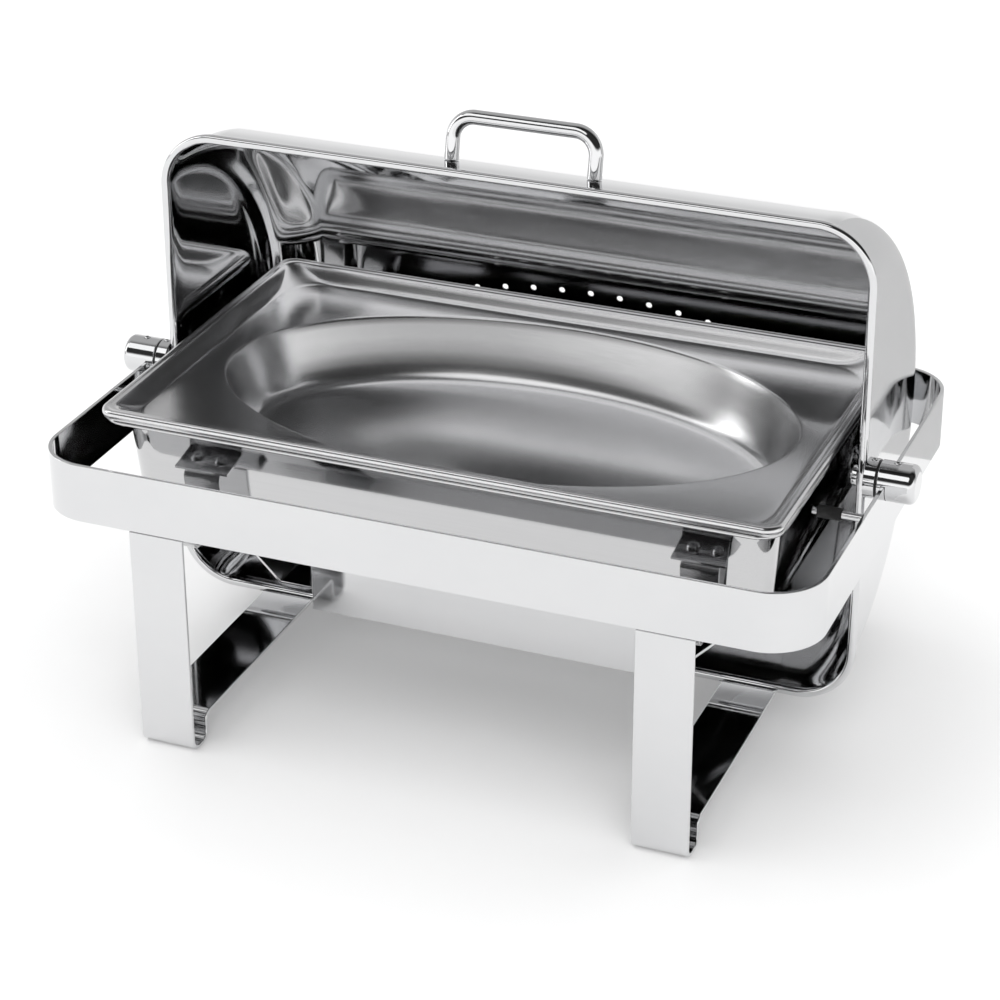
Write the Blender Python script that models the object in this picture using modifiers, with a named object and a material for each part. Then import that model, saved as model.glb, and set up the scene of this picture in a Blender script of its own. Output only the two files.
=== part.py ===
"""Roll-top chafing dish food warmer, modelled in metres with +Z up.

The origin is on the floor under the middle of the frame. X runs along the long side, Y points to the back.
The lid is modelled rolled open: its rim stands upright across the pivot axis and its dome points backwards.
"""
import math

import bmesh
import bpy
from mathutils import Matrix, Vector

# ---- shared clearances -------------------------------------------------------------------------
GAP = 0.0003                 # between pieces that touch or are fastened together
RUNNING_GAP = 0.0003         # between a pin and the bore that turns on it

# ---- pans, the sizes that everything else is built round ---------------------------------------
PAN_LENGTH = 0.530
PAN_DEPTH = 0.325
PAN_SHIFT = 0.004            # the pans sit this far behind the middle of the frame
PAN_ABOVE_PIVOT = 0.0288     # top of the food pan's rim over the pivot axis
PAN_RIM_HEIGHT = 0.0073
PAN_RIM_CORNER = 0.014
PAN_RIM_WIDTH = 0.0105
PAN_RIM_GROOVE = 0.0014      # between the rim's two ridges
PAN_SHEET = 0.0008
DECK_DROP = 0.0138
DECK_INSET = 0.019
DECK_CORNER = 0.034
WELL_END_MARGIN = 0.036      # from the pan's end to the oval well
WELL_SIDE_MARGIN = 0.025
WELL_DRAFT = 0.024
FOOD_PAN_DROP = 0.0648       # rim top to the well's floor

WATER_SHEET = 0.001
WATER_EDGE = 0.001           # the water pan's flange stays this far inside the food pan's rim
WATER_FLANGE = 0.0095
WATER_FLANGE_CORNER = 0.020
WATER_CORNER = 0.030
WATER_DRAFT = 0.005
WATER_PAN_DROP = 0.0968      # rim top to the water pan's bottom

# ---- lid ---------------------------------------------------------------------------------------
LID_END_CLEARANCE = 0.015    # pan's end to the outside of the lid's end wall
LID_SIDE_CLEARANCE = 0.0275  # pan's long side to the outside of the dome, level with the axis
LID_CORNER = 0.042
LID_WALL = 0.0012
LIP_WIDTH = 0.0045           # how far the rolled lip stands out from the wall
LIP_DEPTH = 0.005            # how far the lip lies in front of the pivot axis
VENT_COUNT = 9
VENT_PITCH = 0.025
VENT_RADIUS = 0.0025
VENT_ROW_HEIGHT = 0.027      # middle of the row above the pivot axis, lid open
VENT_ROW_RADIUS = 0.5        # the row bends down towards both ends on this radius

HANDLE_SPACING = 0.114
HANDLE_RADIUS = 0.00575
HANDLE_BEND = 0.017
HANDLE_RISE = 0.040          # from the lid's skin to the outside of the grip
HANDLE_TILT = math.radians(10.6)
HANDLE_SCREW_RADIUS = 0.002
HANDLE_SCREW_DEPTH = 0.010
HANDLE_SCREW_HEAD = 0.005
HANDLE_SCREW_HEAD_HEIGHT = 0.0026

# ---- pivots ------------------------------------------------------------------------------------
KNOB_RADIUS = 0.015
KNOB_EDGE = 0.0008           # the small chamfer round the knob's flat faces
KNOB_DOME = 0.005
HUB_LENGTH = 0.0084
HUB_FLOOR = 0.0027           # metal left behind the pin's bore
HUB_STUB_RADIUS = 0.003
HUB_STUB_PROUD = 0.002       # the stub shows this much past its nut
HUB_NUT_RADIUS = 0.008
HUB_NUT_LENGTH = 0.0042
HUB_SCREW_RADIUS = 0.00192
HUB_SCREW_DEEP = 0.004       # from the pin to the hub screw's tip
WASHER_LENGTH = 0.0011
WASHER_INSET = 0.0008
PIVOT_PIN_RADIUS = 0.004
BLOCK_INNER = 0.0036         # the part of the block inside the band
BLOCK_OVERHANG = 0.0215      # outside of the band to the end of the block
GRUB_RADIUS = 0.0024
GRUB_PROUD = 0.0007

# ---- carrying frame ----------------------------------------------------------------------------
BAND_HEIGHT = 0.0465
BAND_THICKNESS = 0.003
BAND_CORNER = 0.042
BAND_ABOVE_PIVOT = 0.0014
BAND_CLEARANCE = 0.0015      # the lid's lip to the inside of the band

LEG_WIDTH = 0.044
LEG_INSET = 0.067            # from the pan's end to the middle of the leg
LEG_THICKNESS = 0.003
FOOT_DEPTH = 0.0245          # front to back, over the outside of the turned-under foot
FOOT_BEND = 0.0095           # outer radius of the foot's two bends
STRETCHER_TOP = 0.0245
STRETCHER_BEND = 0.007
STRETCHER_CLEARANCE = 0.009  # under the lid's lowest lip

# ---- pan carrier under the pans ----------------------------------------------------------------
BRACKET_THICKNESS = 0.002
BRACKET_LID_CLEARANCE = 0.001    # the closed lid's lip to the bracket's top edge
BRACKET_HEIGHT = 0.023
BRACKET_REACH = 0.030
BRACKET_LOBE = 0.011
BRACKET_LOBE_INSET = 0.001  # the lobe's middle inside the plate's edge
ARM_WIDTH = 0.030
ARM_THICKNESS = 0.0025
ARM_BACK_INSET = 0.0275      # from the pan's back edge line to the arm's end
ARM_FRONT_GAP = 0.002
ARM_BEND = 0.006
ARM_SCREW_RADIUS = 0.0025
ARM_SCREW_SPACING = 0.020
ARM_SCREW_HEAD = 0.005
ARM_SCREW_HEAD_HEIGHT = 0.0022
ARM_SCREW_PROUD = 0.003      # the shank shows this much under the arm

REST_PIN_RADIUS = 0.003
REST_PIN_Y = -0.045
REST_PIN_PAN_GAP = 0.0015
REST_CLEARANCE = 0.00075     # the closed lid's lip to the sleeve
REST_SLEEVE_RADIUS = 0.00475
REST_SLEEVE_UNDER_RIM = 0.004
REST_SLEEVE_LENGTH = 0.018

# ---- burner shelf ------------------------------------------------------------------------------
FLAME_ROOM = 0.0227          # water pan's bottom to the top of a cover's knob
SHELF_RISE = 0.028           # how far the sloping ends climb, and how far they reach out
SHELF_THICKNESS = 0.002
SHELF_MARGIN = 0.005         # from the cover pins to the shelf's edges
SHELF_TAB = 0.012

GUARD_INSET = 0.031          # from the shelf's bend to the end of the guard
GUARD_BELOW_SHELF = 0.016
GUARD_HEIGHT = 0.056
GUARD_THICKNESS = 0.0015
GUARD_STANDOFF = 0.005
GUARD_FOOT_WIDTH = 0.020
GUARD_FOOT_INSET = 0.0417

CUP_CLEARANCE = 0.008        # from the cup to the shelf's bend and to the cover pin
CUP_RADIUS = 0.042
CUP_WALL = 0.0012
CUP_HEIGHT = 0.046
CUP_LIP = 0.0015
COVER_OVERLAP = 0.002
COVER_THICKNESS = 0.0015
COVER_LIFT = 0.0015
COVER_OPEN = math.radians(100)
COVER_PIN_RADIUS = 0.003
COVER_PIN_HEAD = 0.0048
COVER_PIN_HEAD_HEIGHT = 0.002
COVER_PIN_SLACK = 0.0006     # between the cover and the pin's head
COVER_LUG_RADIUS = 0.007
COVER_KNOB_RADIUS = 0.007
COVER_KNOB_HEIGHT = 0.010

# ---- worked out from the sizes above -----------------------------------------------------------
SIDES = {"left": -1, "right": 1}

LID_RADIUS = PAN_DEPTH / 2 + LID_SIDE_CLEARANCE
LID_HALF_LENGTH = PAN_LENGTH / 2 + LID_END_CLEARANCE
LIP_OUTSIDE_X = LID_HALF_LENGTH + LIP_WIDTH
PIVOT_HEIGHT = STRETCHER_TOP + STRETCHER_CLEARANCE + LIP_WIDTH + LID_RADIUS

HUB_START = LIP_OUTSIDE_X + GAP
HUB_END = HUB_START + HUB_LENGTH
WASHER_START = HUB_END + GAP
BLOCK_START = WASHER_START + WASHER_LENGTH + GAP
BAND_INSIDE_X = BLOCK_START + BLOCK_INNER
BAND_INSIDE_Y = LID_RADIUS + LIP_WIDTH + BAND_CLEARANCE
BAND_LENGTH = 2 * (BAND_INSIDE_X + BAND_THICKNESS)
BAND_DEPTH = 2 * (BAND_INSIDE_Y + BAND_THICKNESS)
BAND_TOP = PIVOT_HEIGHT + BAND_ABOVE_PIVOT
BAND_BOTTOM = BAND_TOP - BAND_HEIGHT
BLOCK_END = BAND_LENGTH / 2 + BLOCK_OVERHANG
PIN_START = HUB_START + HUB_FLOOR
PIN_END = BAND_LENGTH / 2 + 0.5 * BLOCK_OVERHANG
WASHER_RADIUS = KNOB_RADIUS - WASHER_INSET

PAN_RIM_TOP = PIVOT_HEIGHT + PAN_ABOVE_PIVOT
WELL_HALF_LENGTH = PAN_LENGTH / 2 - WELL_END_MARGIN
WELL_HALF_DEPTH = PAN_DEPTH / 2 - WELL_SIDE_MARGIN
WELL_FLOOR = PAN_RIM_TOP - FOOD_PAN_DROP
WATER_FLANGE_TOP = PAN_RIM_TOP - PAN_RIM_HEIGHT - GAP
WATER_BOTTOM = PAN_RIM_TOP - WATER_PAN_DROP

LEG_CENTRE_X = PAN_LENGTH / 2 - LEG_INSET
BRACKET_TOP = PIVOT_HEIGHT - LIP_DEPTH - BRACKET_LID_CLEARANCE
BRACKET_SHELF = BRACKET_TOP - BRACKET_HEIGHT
ARM_TOP = WATER_BOTTOM - GAP
ARM_BACK = PAN_DEPTH / 2 - ARM_BACK_INSET
REST_PIN_HEIGHT = PIVOT_HEIGHT - LIP_DEPTH - REST_CLEARANCE - REST_SLEEVE_RADIUS
REST_SLEEVE_START = PAN_LENGTH / 2 - REST_SLEEVE_UNDER_RIM

COVER_UNDERSIDE = CUP_HEIGHT + COVER_LIFT                        # above the shelf
COVER_KNOB_TOP = COVER_UNDERSIDE + COVER_THICKNESS + GAP + COVER_KNOB_HEIGHT
SHELF_HEIGHT = WATER_BOTTOM - FLAME_ROOM - COVER_KNOB_TOP
SHELF_HALF_LENGTH = LEG_CENTRE_X - SHELF_RISE
SHELF_TAB_HEIGHT = ARM_TOP - ARM_THICKNESS - GAP
CUP_X = SHELF_HALF_LENGTH - CUP_CLEARANCE - CUP_RADIUS
COVER_RADIUS = CUP_RADIUS + COVER_OVERLAP
COVER_PIN_Y = CUP_RADIUS + CUP_CLEARANCE
SHELF_HALF_DEPTH = COVER_PIN_Y + SHELF_MARGIN
GUARD_HALF_LENGTH = SHELF_HALF_LENGTH - GUARD_INSET

ROUND_STEPS = 24
BEND_STEPS = 4
PAN_SIDE_STEPS = 8
CUTTER_REACH = 0.015         # how far a cutter runs past the skin that it cuts


# ---- scene and material helpers ----------------------------------------------------------------
def clear_scene():
    """Remove every object that the file starts with."""
    for item in list(bpy.data.objects):
        bpy.data.objects.remove(item, do_unlink=True)


def new_collection(name):
    """Make a collection and link it to the scene."""
    group = bpy.data.collections.new(name)
    bpy.context.scene.collection.children.link(group)
    return group


def new_material(name, colour, roughness, metallic):
    """Make a Principled material in one plain finish."""
    material = bpy.data.materials.new(name)
    material.use_nodes = True
    shader = material.node_tree.nodes["Principled BSDF"]
    shader.inputs["Base Color"].default_value = (*colour, 1.0)
    shader.inputs["Roughness"].default_value = roughness
    shader.inputs["Metallic"].default_value = metallic
    return material


FINISHES = {
    "mirror_steel": ((0.72, 0.72, 0.73), 0.08, 1.0),
    "satin_steel": ((0.62, 0.62, 0.63), 0.30, 1.0),
    "black_rubber": ((0.03, 0.03, 0.03), 0.70, 0.0),
    "black_nylon": ((0.02, 0.02, 0.02), 0.45, 0.0),
}


def add_object(name, mesh, finish=None, parent=None):
    """Link a mesh as a finished piece, with its own material, or as a cutter when it has no finish."""
    item = bpy.data.objects.new(name, mesh)
    if finish is None:
        cutters.objects.link(item)
        item.hide_render = True
        item.display_type = "WIRE"
    else:
        dish.objects.link(item)
        mesh.materials.append(new_material(name, *FINISHES[finish]))
    item.parent = parent
    return item


def add_empty(name, location, parent=None):
    """Place an empty that carries pieces which move together."""
    item = bpy.data.objects.new(name, None)
    item.location = location
    item.parent = parent
    dish.objects.link(item)
    return item


def mesh_from(build, name):
    """Fill a new mesh with what the build function makes in a bmesh."""
    mesh = bpy.data.meshes.new(name)
    shape = bmesh.new()
    build(shape)
    shape.to_mesh(mesh)
    shape.free()
    return mesh


def smooth(mesh, angle=35):
    """Shade a round piece smooth, with its real edges kept sharp."""
    mesh.shade_smooth()
    mesh.set_sharp_from_angle(angle=math.radians(angle))


def boolean(item, other, operation):
    """Cut, join or intersect a piece with another object."""
    step = item.modifiers.new(operation.lower(), "BOOLEAN")
    step.operation = operation
    step.object = other
    step.solver = "EXACT"


# ---- shape helpers -----------------------------------------------------------------------------
AXIS_TURN = {
    "X": Matrix.Rotation(math.radians(90), 4, "Y"),
    "Y": Matrix.Rotation(math.radians(-90), 4, "X"),
    "Z": Matrix.Identity(4),
}


def box(name, low, high, finish=None, parent=None):
    """A rectangular block between two corners."""
    low, high = Vector(low), Vector(high)

    def build(shape):
        bmesh.ops.create_cube(shape, size=1.0)
        bmesh.ops.scale(shape, vec=high - low, verts=shape.verts)
        bmesh.ops.translate(shape, vec=(low + high) / 2, verts=shape.verts)

    return add_object(name, mesh_from(build, name), finish, parent)


def rod(name, radius, start, end, axis="X", finish=None, parent=None, steps=ROUND_STEPS):
    """A round bar along one axis, from one point to another on that axis."""
    start, end = Vector(start), Vector(end)

    def build(shape):
        bmesh.ops.create_cone(shape, cap_ends=True, segments=steps, radius1=radius, radius2=radius,
                              depth=(end - start).length)
        bmesh.ops.transform(shape, matrix=AXIS_TURN[axis], verts=shape.verts)
        bmesh.ops.translate(shape, vec=(start + end) / 2, verts=shape.verts)

    mesh = mesh_from(build, name)
    smooth(mesh)
    return add_object(name, mesh, finish, parent)


def turned(name, profile, finish=None, parent=None, location=(0, 0, 0), turn=(0, 0, 0), steps=ROUND_STEPS):
    """A turned piece: points (radius, height) from the top of its outer side down, about its own Z."""
    mesh = bpy.data.meshes.new(name)
    points = [(radius, 0.0, height) for radius, height in profile]
    mesh.from_pydata(points, [(i, i + 1) for i in range(len(points) - 1)], [])
    item = add_object(name, mesh, finish, parent)
    item.location = location
    item.rotation_euler = turn
    screw = item.modifiers.new("turn", "SCREW")
    screw.steps = steps
    screw.render_steps = steps
    screw.use_merge_vertices = True
    screw.merge_threshold = 0.00001
    screw.use_smooth_shade = True
    return item


def rounded_path(points, radius, steps=BEND_STEPS):
    """A line through the points with each inner corner replaced by an arc."""
    points = [Vector(point) for point in points]
    path = [points[0]]
    for before, corner, after in zip(points, points[1:], points[2:]):
        into = (corner - before).normalized()
        out = (after - corner).normalized()
        turn = into.angle(out)
        reach = radius * math.tan(turn / 2)
        first = corner - into * reach
        centre = first + (out - into * into.dot(out)).normalized() * radius
        for step in range(steps + 1):
            angle = turn * step / steps
            path.append(centre + (first - centre) * math.cos(angle) + into * radius * math.sin(angle))
    path.append(points[-1])
    return path


def bent_strip(name, path, thickness, across, finish=None, parent=None):
    """A flat bar bent along a path; its middle surface is thickened by half to each side."""
    across = Vector(across)

    def build(shape):
        edges = [[shape.verts.new(point + across * side) for point in path] for side in (-0.5, 0.5)]
        for first, second, third, fourth in zip(edges[0], edges[0][1:], edges[1][1:], edges[1]):
            shape.faces.new((first, second, third, fourth))

    item = add_object(name, mesh_from(build, name), finish, parent)
    wall = item.modifiers.new("thickness", "SOLIDIFY")
    wall.thickness = thickness
    wall.offset = 0.0
    wall.use_even_offset = True
    return item


def rounded_rectangle(half_x, half_y, corner, corner_steps=6, side_steps=4):
    """Points round a rectangle with round corners, counter-clockwise from the right-hand side."""
    points = []
    for quarter, (sign_x, sign_y) in enumerate(((1, 1), (-1, 1), (-1, -1), (1, -1))):
        centre = Vector((sign_x * (half_x - corner), sign_y * (half_y - corner)))
        start = math.pi / 2 * quarter
        arc = []
        for step in range(corner_steps + 1):
            angle = start + math.pi / 2 * step / corner_steps
            arc.append(centre + corner * Vector((math.cos(angle), math.sin(angle))))
        if points:
            points += straight_between(points[-1], arc[0], side_steps)
        points += arc
    points += straight_between(points[-1], points[0], side_steps)
    return points


def straight_between(start, end, steps):
    """The inner points of a straight stretch split into equal steps."""
    return [start.lerp(end, step / steps) for step in range(1, steps)]


def lofted_sheet(name, rings, thickness, finish, parent=None):
    """A pressed sheet through rings of points, closed over its last ring; it thickens downwards."""
    def build(shape):
        loops = [[shape.verts.new(point) for point in ring] for ring in rings]
        count = len(loops[0])
        for outer, inner in zip(loops, loops[1:]):
            for i in range(count):
                j = (i + 1) % count
                shape.faces.new((outer[i], outer[j], inner[j], inner[i]))
        shape.faces.new(loops[-1])

    mesh = mesh_from(build, name)
    smooth(mesh)
    item = add_object(name, mesh, finish, parent)
    wall = item.modifiers.new("thickness", "SOLIDIFY")
    wall.thickness = thickness
    wall.offset = -1.0
    wall.use_even_offset = True
    return item


# ---- carrying frame ----------------------------------------------------------------------------
def frame_band():
    """The flat-bar ring that carries everything, notched on both sides for the pivot pins."""
    half = BAND_THICKNESS / 2
    outline = rounded_rectangle(BAND_LENGTH / 2 - half, BAND_DEPTH / 2 - half, BAND_CORNER - half, 8, 1)

    def build(shape):
        low = [shape.verts.new((x, y, BAND_BOTTOM)) for x, y in outline]
        high = [shape.verts.new((x, y, BAND_TOP)) for x, y in outline]
        for i in range(len(outline)):
            j = (i + 1) % len(outline)
            shape.faces.new((low[i], low[j], high[j], high[i]))

    mesh = mesh_from(build, "frame_band")
    smooth(mesh)
    band = add_object("frame_band", mesh, "mirror_steel")
    wall = band.modifiers.new("thickness", "SOLIDIFY")
    wall.thickness = BAND_THICKNESS
    wall.offset = 0.0
    wall.use_even_offset = True
    reach = BAND_LENGTH
    notch = rod("band_notch_cutter", PIVOT_PIN_RADIUS + GAP, (-reach, 0, PIVOT_HEIGHT),
                (reach, 0, PIVOT_HEIGHT))
    boolean(band, notch, "DIFFERENCE")


def leg_strip(side):
    """One bent strip: front leg, turned-under foot, raised stretcher, rear foot and rear leg."""
    half = LEG_THICKNESS / 2
    outside = BAND_DEPTH / 2 - half
    curl = BAND_DEPTH / 2 - FOOT_DEPTH + half
    top = BAND_BOTTOM - GAP
    stretcher = STRETCHER_TOP - half
    foot = rounded_path([(0, -outside, top), (0, -outside, half), (0, -curl, half), (0, -curl, stretcher)],
                        FOOT_BEND - half)
    raised = rounded_path([(0, -curl, half), (0, -curl, stretcher), (0, 0, stretcher)], STRETCHER_BEND - half)
    front = foot[:-1] + raised[1:-1]
    back = [Vector((0, -point.y, point.z)) for point in reversed(front)]
    centre = Vector((SIDES[side] * LEG_CENTRE_X, 0, 0))
    path = [point + centre for point in front + back]
    bent_strip(f"{side}_leg_strip", path, LEG_THICKNESS, (LEG_WIDTH, 0, 0), "mirror_steel")


# ---- pan carrier -------------------------------------------------------------------------------
def screw_places(side):
    """Where the two screws of a pan bracket stand, on its shelf."""
    y = -BAND_INSIDE_Y + BRACKET_REACH / 2
    x = SIDES[side] * LEG_CENTRE_X
    return [Vector((x + sign * ARM_SCREW_SPACING / 2, y, BRACKET_SHELF)) for sign in (-1, 1)]


def screw_holes(side, low, high):
    """A cutter for the two screw holes of one bracket."""
    holes = []
    for i, place in enumerate(screw_places(side)):
        start = (place.x, place.y, low)
        end = (place.x, place.y, high)
        name = f"{side}_bracket_hole_cutter_{i + 1}_{round(high * 10000)}"
        holes.append(rod(name, ARM_SCREW_RADIUS + GAP, start, end, "Z", steps=12))
    return holes


def pan_bracket(side):
    """A plate inside the front of the band, with a half-round lobe and a shelf for the carrier arm."""
    half = BRACKET_THICKNESS / 2
    back = -BAND_INSIDE_Y + GAP + half
    centre_x = SIDES[side] * LEG_CENTRE_X
    path = [(centre_x, back, BRACKET_TOP), (centre_x, back, BRACKET_SHELF - half),
            (centre_x, -BAND_INSIDE_Y + BRACKET_REACH, BRACKET_SHELF - half)]
    item = bent_strip(f"{side}_pan_bracket", rounded_path(path, half * 2), BRACKET_THICKNESS,
                      (LEG_WIDTH, 0, 0), "mirror_steel")
    lobe_x = centre_x - SIDES[side] * (LEG_WIDTH / 2 - BRACKET_LOBE_INSET)
    lobe_z = (BRACKET_TOP + BRACKET_SHELF) / 2
    deep = 0.9 * half
    lobe = rod(f"{side}_bracket_lobe", BRACKET_LOBE, (lobe_x, back - deep, lobe_z),
               (lobe_x, back + deep, lobe_z), "Y")
    boolean(item, lobe, "UNION")
    for hole in screw_holes(side, BRACKET_SHELF - 2 * BRACKET_THICKNESS, BRACKET_SHELF + BRACKET_THICKNESS):
        boolean(item, hole, "DIFFERENCE")


def carrier_arm(side):
    """A strip that hangs from the bracket's shelf and runs back under the water pan."""
    half = ARM_THICKNESS / 2
    top = BRACKET_SHELF - BRACKET_THICKNESS - GAP - half
    front = -BAND_INSIDE_Y + BRACKET_THICKNESS + ARM_FRONT_GAP
    drop = -BAND_INSIDE_Y + BRACKET_REACH
    run = ARM_TOP - half
    x = SIDES[side] * LEG_CENTRE_X
    path = rounded_path([(x, front, top), (x, drop, top), (x, drop, run), (x, ARM_BACK, run)], ARM_BEND)
    item = bent_strip(f"{side}_carrier_arm", path, ARM_THICKNESS, (ARM_WIDTH, 0, 0), "satin_steel")
    for hole in screw_holes(side, top - ARM_THICKNESS, top + ARM_THICKNESS):
        boolean(item, hole, "DIFFERENCE")


def bracket_screws(side):
    """Two pan-head screws, heads on the shelf, shanks through the shelf and the arm."""
    shank_end = BRACKET_THICKNESS + ARM_THICKNESS + ARM_SCREW_PROUD
    head = ARM_SCREW_HEAD
    crown = ARM_SCREW_HEAD_HEIGHT
    for i, place in enumerate(screw_places(side)):
        profile = [(0, crown), (head * 0.7, crown * 0.9), (head, crown * 0.4), (head, GAP),
                   (ARM_SCREW_RADIUS, GAP), (ARM_SCREW_RADIUS, -shank_end), (0, -shank_end)]
        turned(f"{side}_bracket_screw_{i + 1}", profile, "mirror_steel", location=place, steps=16)


def rest_pin(side):
    """A round pin welded inside the band's end, which the closed lid's lip comes down to."""
    sign = SIDES[side]
    pan_wall = PAN_LENGTH / 2 - WATER_FLANGE
    start = (sign * (pan_wall + REST_PIN_PAN_GAP), REST_PIN_Y, REST_PIN_HEIGHT)
    end = (sign * (BAND_INSIDE_X - GAP), REST_PIN_Y, REST_PIN_HEIGHT)
    rod(f"{side}_rest_pin", REST_PIN_RADIUS, start, end, "X", "mirror_steel", steps=16)
    first = (sign * REST_SLEEVE_START, REST_PIN_Y, REST_PIN_HEIGHT)
    last = (sign * (REST_SLEEVE_START + REST_SLEEVE_LENGTH), REST_PIN_Y, REST_PIN_HEIGHT)
    sleeve = rod(f"{side}_rest_sleeve", REST_SLEEVE_RADIUS, first, last, "X", "black_rubber")
    bore = rod(f"{side}_rest_sleeve_bore", REST_PIN_RADIUS + GAP, start, end, "X")
    boolean(sleeve, bore, "DIFFERENCE")


# ---- burner shelf ------------------------------------------------------------------------------
def burner_shelf():
    """A wide strip that hangs between the two carrier arms and holds the fuel cups."""
    half = SHELF_THICKNESS / 2
    floor = SHELF_HEIGHT - half
    tab = SHELF_TAB_HEIGHT - half
    end = LEG_CENTRE_X + SHELF_TAB
    right = [(SHELF_HALF_LENGTH, 0, floor), (LEG_CENTRE_X, 0, floor + SHELF_RISE), (LEG_CENTRE_X, 0, tab),
             (end, 0, tab)]
    left = [(-x, y, z) for x, y, z in reversed(right)]
    path = rounded_path(left + right, 2 * SHELF_THICKNESS, 3)
    bent_strip("burner_shelf", path, SHELF_THICKNESS, (0, 2 * SHELF_HALF_DEPTH, 0), "mirror_steel")


def burner_guard():
    """The upright plate that hides the fuel cups from the front, on two feet against the shelf."""
    back = -SHELF_HALF_DEPTH - GUARD_STANDOFF
    bottom = SHELF_HEIGHT - GUARD_BELOW_SHELF
    plate = box("burner_guard", (-GUARD_HALF_LENGTH, back - GUARD_THICKNESS, bottom),
                (GUARD_HALF_LENGTH, back, bottom + GUARD_HEIGHT), "mirror_steel")
    half = GUARD_FOOT_WIDTH / 2
    for sign in (-1, 1):
        middle = sign * (GUARD_HALF_LENGTH - GUARD_FOOT_INSET)
        foot = box(f"guard_foot_{sign + 1}",
                   (middle - half, back - GUARD_THICKNESS / 2, SHELF_HEIGHT - SHELF_THICKNESS),
                   (middle + half, -SHELF_HALF_DEPTH - GAP, SHELF_HEIGHT))
        boolean(plate, foot, "UNION")


def fuel_cup(side):
    """An open cup on the shelf for a can of chafing fuel."""
    base = SHELF_HEIGHT + GAP
    inner = CUP_RADIUS - CUP_WALL
    lip = CUP_RADIUS + CUP_LIP
    outside = [(inner, CUP_HEIGHT), (lip, CUP_HEIGHT), (lip, CUP_HEIGHT - CUP_LIP),
               (CUP_RADIUS, CUP_HEIGHT - 2 * CUP_LIP), (CUP_RADIUS, 0), (0, 0)]
    inside = [(0, CUP_WALL), (inner, CUP_WALL), (inner, CUP_HEIGHT)]
    turned(f"{side}_fuel_cup", outside + inside, "satin_steel", location=(SIDES[side] * CUP_X, 0, base))


def cover_pin(side):
    """The post behind the cup that the snuffer cover swings on."""
    x = SIDES[side] * CUP_X
    top = SHELF_HEIGHT + COVER_UNDERSIDE + COVER_THICKNESS
    head = COVER_PIN_HEAD
    under = top + COVER_PIN_SLACK
    crown = under + COVER_PIN_HEAD_HEIGHT
    profile = [(0, crown), (head, crown - 0.2 * COVER_PIN_HEAD_HEIGHT), (head, under),
               (COVER_PIN_RADIUS, under), (COVER_PIN_RADIUS, SHELF_HEIGHT + GAP), (0, SHELF_HEIGHT + GAP)]
    turned(f"{side}_cover_pin", profile, "mirror_steel", location=(x, COVER_PIN_Y, 0), steps=16)


def snuffer_cover(side):
    """A flat cover with a lug, swung off its cup towards the middle of the shelf."""
    sign = SIDES[side]
    low = SHELF_HEIGHT + COVER_UNDERSIDE
    swing = add_empty(f"{side}_cover_swing", (sign * CUP_X, COVER_PIN_Y, low))
    swing.rotation_euler = (0, 0, -sign * COVER_OPEN)
    cover = rod(f"{side}_snuffer_cover", COVER_RADIUS, (0, -COVER_PIN_Y, 0),
                (0, -COVER_PIN_Y, COVER_THICKNESS), "Z", "satin_steel", swing, 32)
    lug = rod(f"{side}_cover_lug", COVER_LUG_RADIUS, (0, 0, 0), (0, 0, COVER_THICKNESS), "Z", parent=swing)
    reach = 5 * COVER_THICKNESS
    bore = rod(f"{side}_cover_bore", COVER_PIN_RADIUS + RUNNING_GAP, (0, 0, -reach), (0, 0, reach), "Z",
               parent=swing, steps=16)
    boolean(cover, lug, "UNION")
    boolean(cover, bore, "DIFFERENCE")
    base = COVER_THICKNESS + GAP
    wide = COVER_KNOB_RADIUS
    tall = COVER_KNOB_HEIGHT
    knob = [(0, base + tall), (0.7 * wide, base + 0.95 * tall), (wide, base + 0.7 * tall),
            (0.9 * wide, base + 0.45 * tall), (0.5 * wide, base + 0.3 * tall), (0.5 * wide, base), (0, base)]
    turned(f"{side}_cover_knob", knob, "mirror_steel", swing, (0, -COVER_PIN_Y, 0), steps=16)


# ---- lid ---------------------------------------------------------------------------------------
def lid_profile(grow=0.0):
    """The lid's outline from one end of the pivot axis over the dome to the other, as (x, radius)."""
    x = LID_HALF_LENGTH + grow
    radius = LID_RADIUS + grow
    corner = LID_CORNER + grow
    steps = 7
    right = [(x, 0.0)]
    for step in range(steps + 1):
        angle = math.pi / 2 * step / steps
        right.append((x - corner + corner * math.cos(angle), radius - corner + corner * math.sin(angle)))
    left = [(-px, r) for px, r in right]
    return left + right[::-1]


def lid_body(name, shrink, finish, pivot):
    """A closed barrel turned about the pivot axis, smaller all over by the given amount."""
    profile = [(radius, x) for x, radius in reversed(lid_profile(-shrink))]
    return turned(name, profile, finish, pivot, turn=outward("right"), steps=2 * ROUND_STEPS)


def lid_shell(pivot):
    """The dome: the back half of a hollow barrel about the pivot axis, with a rolled lip round its rim."""
    shell = lid_body("lid_shell", 0.0, "mirror_steel", pivot)
    boolean(shell, lid_body("lid_hollow_cutter", LID_WALL, None, pivot), "DIFFERENCE")
    boolean(shell, lid_lip(pivot), "UNION")
    reach = 2 * LID_HALF_LENGTH
    front = box("lid_front_cutter", (-reach, -reach, -reach), (reach, -LIP_DEPTH, reach), parent=pivot)
    boolean(shell, front, "DIFFERENCE")
    for side, sign in SIDES.items():
        bore = rod(f"{side}_lid_bore_cutter", HUB_STUB_RADIUS + GAP,
                   (sign * (LID_HALF_LENGTH - CUTTER_REACH), 0, 0),
                   (sign * (LID_HALF_LENGTH + CUTTER_REACH), 0, 0), "X", parent=pivot, steps=16)
        boolean(shell, bore, "DIFFERENCE")
    for hole in vent_cutters(pivot) + handle_hole_cutters(pivot):
        boolean(shell, hole, "DIFFERENCE")


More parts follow.
